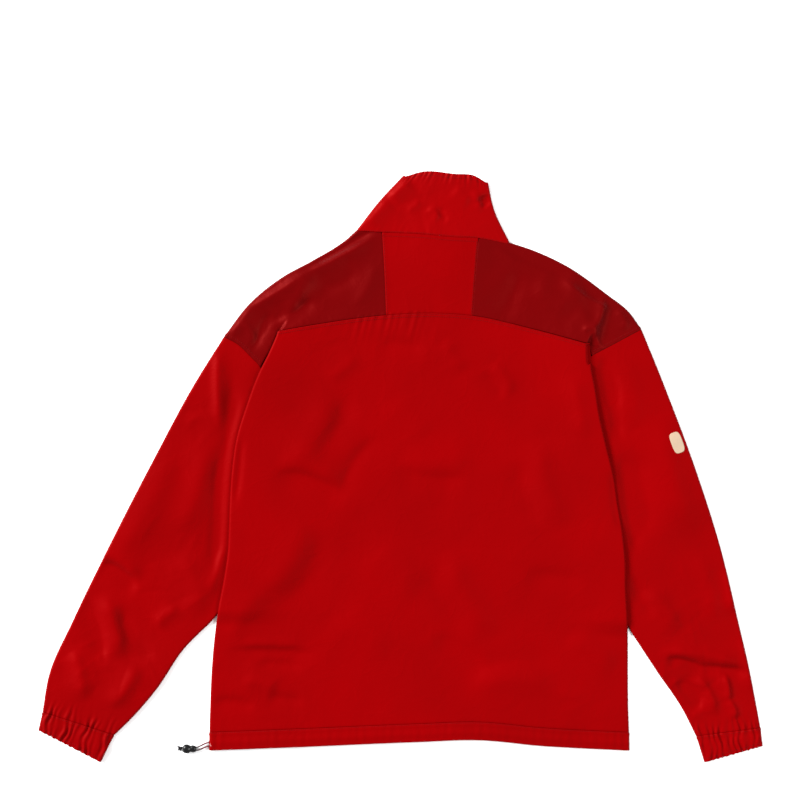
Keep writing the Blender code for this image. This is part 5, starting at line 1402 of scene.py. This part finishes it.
def moulded(name, colour, roughness, metallic=0.0, coat=0.0, grain=900.0, glint=0.5):
    """Moulded or lacquered part: a faint orange-peel grain, and scuffs that dull its gloss."""
    material, tree, shader = new_material(name, Metallic=metallic)
    shader.inputs["Coat Weight"].default_value = coat
    shader.inputs["Specular IOR Level"].default_value = glint
    shader.inputs["Coat Roughness"].default_value = 0.12
    place_of = node(tree, "ShaderNodeTexCoord").outputs["Object"]
    peel = node(tree, "ShaderNodeTexNoise", {"Vector": place_of, "Scale": grain, "Detail": 2.0})
    scuff = node(tree, "ShaderNodeTexNoise", {"Vector": place_of, "Scale": grain / 6, "Detail": 4.0})
    dull = node(tree, "ShaderNodeMapRange", {"Value": scuff.outputs[0], "From Min": 0.35, "From Max": 0.75,
                                             "To Min": roughness, "To Max": roughness + 0.22})
    lighter = tuple(min(1.0, part * 1.8 + 0.002) for part in colour)
    scuffed = maths(tree, "MULTIPLY", scuff.outputs[0], 0.5)
    tree.links.new(mixed(tree, scuffed, (*colour, 1.0), (*lighter, 1.0)), shader.inputs["Base Color"])
    tree.links.new(dull.outputs[0], shader.inputs["Roughness"])
    bump = node(tree, "ShaderNodeBump", {"Strength": 0.15, "Distance": 0.00005, "Height": peel.outputs[0]})
    tree.links.new(bump.outputs[0], shader.inputs["Normal"])
    return material


def zip_tape_cloth(name, colour, shade):
    """Zip tape: ribs woven across it, by its place in the part."""
    material, tree, shader = new_material(name, Roughness=0.8)
    place_of = node(tree, "ShaderNodeTexCoord").outputs["Object"]
    ribs = node(tree, "ShaderNodeTexWave", {"Vector": place_of, "Scale": 320.0, "Distortion": 0.2},
                bands_direction="Y")
    tree.links.new(mixed(tree, ribs.outputs["Fac"], (*colour, 1.0), (*shade, 1.0)),
                   shader.inputs["Base Color"])
    bump = node(tree, "ShaderNodeBump", {"Strength": 0.4, "Distance": 0.0001, "Height": ribs.outputs["Fac"]})
    tree.links.new(bump.outputs[0], shader.inputs["Normal"])
    return material


def pale_floor(name, colour):
    """Matt pale floor with a very faint unevenness."""
    material, tree, shader = new_material(name, Roughness=0.9)
    shader.inputs["Specular IOR Level"].default_value = 0.1
    place_of = node(tree, "ShaderNodeTexCoord").outputs["Object"]
    noise = node(tree, "ShaderNodeTexNoise", {"Vector": place_of, "Scale": 3.0})
    darker = tuple(part * 0.985 for part in colour)
    tree.links.new(mixed(tree, noise.outputs[0], (*colour, 1.0), (*darker, 1.0)), shader.inputs["Base Color"])
    return material


def scaled(colour, factor):
    """A colour made lighter or darker by a factor."""
    return tuple(part * factor for part in colour)


def finish_of(name):
    """The named finish in the colours of the settings, made when it is first asked for."""
    made = bpy.data.materials.get(name)
    if made:
        return made
    colours = bpy.context.scene.anorak_colours
    shell, shoulder = tuple(colours.shell), tuple(colours.shoulder)
    makers = {
        "Body cloth": lambda: woven(name, shell, scaled(shell, 0.8), 0.5, 0.12, 0.08),
        # painted light: the collar is the body's own cloth, its colour and darker tone painted lighter than
        # the body's for the light that the collar catches
        "Collar cloth painted lighter": lambda: woven(name, scaled(shell, 1.08), scaled(shell, 0.86), 0.46, 0.16, 0.14),
        "Shoulder cloth": lambda: woven(name, shoulder, scaled(shoulder, 0.78), 0.46, 0.16, 0.2, 1900.0, 0.6),
        "Seam thread": lambda: plain_thread(name, scaled(shell, 0.9), scaled(shell, 0.6)),
        "Eyelet thread": lambda: plain_thread(name, scaled(shoulder, 0.35), scaled(shoulder, 0.2)),
        "Tack thread": lambda: plain_thread(name, (0.42, 0.16, 0.16), (0.34, 0.1, 0.1)),
        "Braided cord": lambda: braided(name, tuple(colours.cord), scaled(colours.cord, 0.45),
                                        (0.02, 0.018, 0.02)),
        "Knotted cord": lambda: moulded(name, (0.006, 0.005, 0.006), 0.6, grain=2600.0, glint=0.1),
        "Stopper plastic": lambda: moulded(name, (0.0015, 0.0015, 0.0018), 0.2, coat=0.05, glint=0.2),
        "Zip lacquer": lambda: moulded(name, (0.02, 0.02, 0.022), 0.35, metallic=0.6, coat=0.2),
        "Zip tooth resin": lambda: moulded(name, scaled(shoulder, 0.5), 0.4, coat=0.1),
        "Zip tape": lambda: zip_tape_cloth(name, scaled(shoulder, 0.6), scaled(shoulder, 0.4)),
        "Patch film": lambda: moulded(name, tuple(colours.patch), 0.5, grain=500.0),
        "Pale floor": lambda: pale_floor(name, tuple(colours.floor)),
    }
    return makers[name]()


# Settings

class ANORAK_PG_cloth(bpy.types.PropertyGroup):
    """Sizes of the cloth and its stitching."""
    wall: bpy.props.FloatProperty(name="Cloth wall", description="Thickness of the cloth with its lining",
                                  default=0.0008, min=0.0003, max=0.002, unit="LENGTH", precision=5)
    fold_strength: bpy.props.FloatProperty(name="Fold strength",
                                           description="Share of the folds' full height",
                                           default=1.0, min=0.0, max=1.3, subtype="FACTOR")
    stitch: bpy.props.FloatProperty(name="Stitch", description="From one stitch to the next", default=0.0031,
                                    min=0.002, max=0.006, unit="LENGTH", precision=5)
    thread: bpy.props.FloatProperty(name="Thread", description="Radius of the sewing thread", default=0.00028,
                                    min=0.0001, max=0.0006, unit="LENGTH", precision=5)


class ANORAK_PG_colours(bpy.types.PropertyGroup):
    """Colours of the cloth and trims."""
    shell: bpy.props.FloatVectorProperty(name="Body", description="Body, sleeves and collar", size=3,
                                         default=(0.158, 0.0001, 0.0006), min=0.0, max=1.0, subtype="COLOR")
    shoulder: bpy.props.FloatVectorProperty(name="Shoulders", description="Shoulder panels", size=3,
                                            default=(0.082, 0.0003, 0.0007), min=0.0, max=1.0,
                                            subtype="COLOR")
    cord: bpy.props.FloatVectorProperty(name="Cord", description="Hem drawcord near the hem", size=3,
                                        default=(0.14, 0.006, 0.012), min=0.0, max=1.0, subtype="COLOR")
    patch: bpy.props.FloatVectorProperty(name="Patch", description="Plain patch on the sleeve", size=3,
                                         default=(0.26, 0.185, 0.12), min=0.0, max=1.0, subtype="COLOR")
    floor: bpy.props.FloatVectorProperty(name="Floor", description="Pale floor", size=3,
                                         default=(0.9, 0.9, 0.9), min=0.0, max=1.0, subtype="COLOR")


class ANORAK_PG_stage(bpy.types.PropertyGroup):
    """Camera and lights."""
    height: bpy.props.FloatProperty(name="Camera height", description="Camera over the floor", default=4.0,
                                    min=1.0, max=10.0, unit="LENGTH")
    width: bpy.props.FloatProperty(name="View width", description="Width of floor that the camera sees",
                                   default=1.08, min=0.5, max=3.0, unit="LENGTH")
    key: bpy.props.FloatProperty(name="Key light", description="Power of the large soft light",
                                 default=2800.0, min=0.0, max=9000.0, unit="POWER")
    side: bpy.props.FloatProperty(name="Side light", description="Power of the weaker light opposite it",
                                  default=64.0, min=0.0, max=1000.0, unit="POWER")
    fill: bpy.props.FloatProperty(name="Even light", description="Strength of the even light from all round",
                                  default=0.66, min=0.0, max=3.0)


# Operators

class ANORAK_OT_stage(bpy.types.Operator):
    """Camera over the garment, soft lights and a pale floor"""
    bl_idname = "anorak.stage"
    bl_label = "Stage"

    def execute(self, context):
        stage = context.scene.anorak_stage
        data = bpy.data.cameras.new("camera")
        data.lens = data.sensor_width * (stage.height - TOP * MM) / stage.width
        camera = bpy.data.objects.new("camera", data)
        camera.location = (-0.0007, 0.0905, stage.height)
        context.scene.collection.objects.link(camera)
        context.scene.camera = camera
        context.scene.view_settings.view_transform = "Standard"
        for name, where, power, size in (("key_light", (-7.4, 3.8, 5.2), stage.key, 4.0),
                                         ("side_light", (1.7, -0.5, 2.3), stage.side, 1.2)):
            light = bpy.data.lights.new(name, "AREA")
            light.shape = "SQUARE"
            light.energy = power
            light.size = size
            lamp = bpy.data.objects.new(name, light)
            lamp.location = where
            to_garment = Vector((0.0, 0.0, 0.0)) - lamp.location
            lamp.rotation_euler = to_garment.to_track_quat("-Z", "Y").to_euler()
            context.scene.collection.objects.link(lamp)
        world = bpy.data.worlds.new("even light")
        world.use_nodes = True
        world.node_tree.nodes["Background"].inputs["Strength"].default_value = stage.fill
        world.node_tree.nodes["Background"].inputs["Color"].default_value = (1.0, 1.0, 1.0, 1.0)
        context.scene.world = world
        half = 4.0
        low = -0.0001
        corners = [(-half, -half, low), (half, -half, low), (half, half, low), (-half, half, low)]
        mesh = bpy.data.meshes.new("floor")
        mesh.from_pydata(corners, [], [(0, 1, 2, 3)])
        mesh.materials.append(finish_of("Pale floor"))
        floor = bpy.data.objects.new("floor", mesh)
        context.scene.collection.objects.link(floor)
        return {"FINISHED"}


class ANORAK_OT_drawcord(bpy.types.Operator):
    """Hem drawcord: its two strands, their eyelets, stopper and knot"""
    bl_idname = "anorak.drawcord"
    bl_label = "Hem drawcord"

    def execute(self, context):
        cords = {side: make_cord(side, finish_of("Braided cord")) for side in CORD_ROUTE}
        stopper = make_stopper(finish_of("Stopper plastic"))
        knot = make_knot(finish_of("Knotted cord"))
        make_eyelets(finish_of("Eyelet thread"), finish_of("Tack thread"))
        return {"FINISHED"}


class ANORAK_OT_back(bpy.types.Operator):
    """Lower back and the centre yoke over it"""
    bl_idname = "anorak.back"
    bl_label = "Back and yoke"

    def execute(self, context):
        make_back(finish_of("Body cloth"))
        make_yoke(finish_of("Body cloth"))
        return {"FINISHED"}


class ANORAK_OT_front(bpy.types.Operator):
    """Front panel, which lies on the floor"""
    bl_idname = "anorak.front"
    bl_label = "Front"

    def execute(self, context):
        make_front(finish_of("Body cloth"))
        return {"FINISHED"}


class ANORAK_OT_shoulders(bpy.types.Operator):
    """Dark shoulder panels"""
    bl_idname = "anorak.shoulders"
    bl_label = "Shoulders"

    def execute(self, context):
        for side in ("left", "right"):
            make_shoulder(side, finish_of("Shoulder cloth"))
        return {"FINISHED"}


class ANORAK_OT_sleeves(bpy.types.Operator):
    """Sleeves, their cuffs and the patch on the right one"""
    bl_idname = "anorak.sleeves"
    bl_label = "Sleeves and cuffs"

    def execute(self, context):
        patch = make_sleeve_patch(finish_of("Patch film"))
        for side, on_it in (("left", ()), ("right", (patch,))):
            make_sleeve(side, finish_of("Body cloth"))
            make_cuff(side, finish_of("Body cloth"))
        return {"FINISHED"}


class ANORAK_OT_hem(bpy.types.Operator):
    """Hem casing"""
    bl_idname = "anorak.hem"
    bl_label = "Hem"

    def execute(self, context):
        make_hem(finish_of("Body cloth"))
        return {"FINISHED"}


class ANORAK_OT_collar(bpy.types.Operator):
    """Stand collar"""
    bl_idname = "anorak.collar"
    bl_label = "Collar"

    def execute(self, context):
        make_collar(finish_of("Collar cloth painted lighter"))
        return {"FINISHED"}


class ANORAK_OT_zip(bpy.types.Operator):
    """Teeth of the front half-zip, and the finishes of its tapes, slider and pull"""
    bl_idname = "anorak.zip"
    bl_label = "Half-zip"

    def execute(self, context):
        make_zip_teeth(finish_of("Zip tooth resin"))
        for name, finish in (("zip_tape_left", "Zip tape"), ("zip_tape_right", "Zip tape"),
                             ("zip_slider", "Zip lacquer"), ("zip_pull", "Zip lacquer")):
            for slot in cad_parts[name].material_slots:
                slot.material = finish_of(finish)
        return {"FINISHED"}


class ANORAK_OT_stitching(bpy.types.Operator):
    """Topstitching along the seams of the pieces made so far"""
    bl_idname = "anorak.stitching"
    bl_label = "Topstitching"

    def execute(self, context):
        if not THREAD_LINES:
            raise RuntimeError("make the cloth pieces before their topstitching")
        sizes = context.scene.anorak_cloth
        mesh = stitches_mesh("topstitching", THREAD_LINES, sizes.stitch / MM, sizes.stitch / MM * 0.74,
                             sizes.thread / MM)
        place("topstitching", mesh, finish_of("Seam thread"), slot="red_shell")
        return {"FINISHED"}


class ANORAK_PT_maker(bpy.types.Panel):
    """Lists the garment's pieces, sizes and colours"""
    bl_idname = "ANORAK_PT_maker"
    bl_label = "Anorak pullover"
    bl_space_type = "VIEW_3D"
    bl_region_type = "UI"
    bl_category = "Anorak"

    def draw(self, context):
        for kind in SETTINGS:
            settings = getattr(context.scene, kind)
            box = self.layout.box()
            for name in settings.__annotations__:
                box.prop(settings, name)
        for operator in OPERATORS:
            self.layout.operator(operator.bl_idname)


OPERATORS = (ANORAK_OT_stage, ANORAK_OT_drawcord, ANORAK_OT_back, ANORAK_OT_shoulders, ANORAK_OT_sleeves,
             ANORAK_OT_hem, ANORAK_OT_collar, ANORAK_OT_front, ANORAK_OT_zip, ANORAK_OT_stitching)
SETTINGS = {"anorak_cloth": ANORAK_PG_cloth, "anorak_colours": ANORAK_PG_colours,
            "anorak_stage": ANORAK_PG_stage}


def register():
    """Registers the settings, operators and panel."""
    for kind in (*SETTINGS.values(), *OPERATORS, ANORAK_PT_maker):
        bpy.utils.register_class(kind)
    for name, kind in SETTINGS.items():
        setattr(bpy.types.Scene, name, bpy.props.PointerProperty(type=kind))


def unregister():
    """Takes the settings, operators and panel away."""
    for name in SETTINGS:
        delattr(bpy.types.Scene, name)
    for kind in reversed((*SETTINGS.values(), *OPERATORS, ANORAK_PT_maker)):
        bpy.utils.unregister_class(kind)


def main():
    """Makes the stage and every piece."""
    register()
    for operator in OPERATORS:
        family, name = operator.bl_idname.split(".")
        getattr(getattr(bpy.ops, family), name)()


if __name__ == "__main__":
    main()
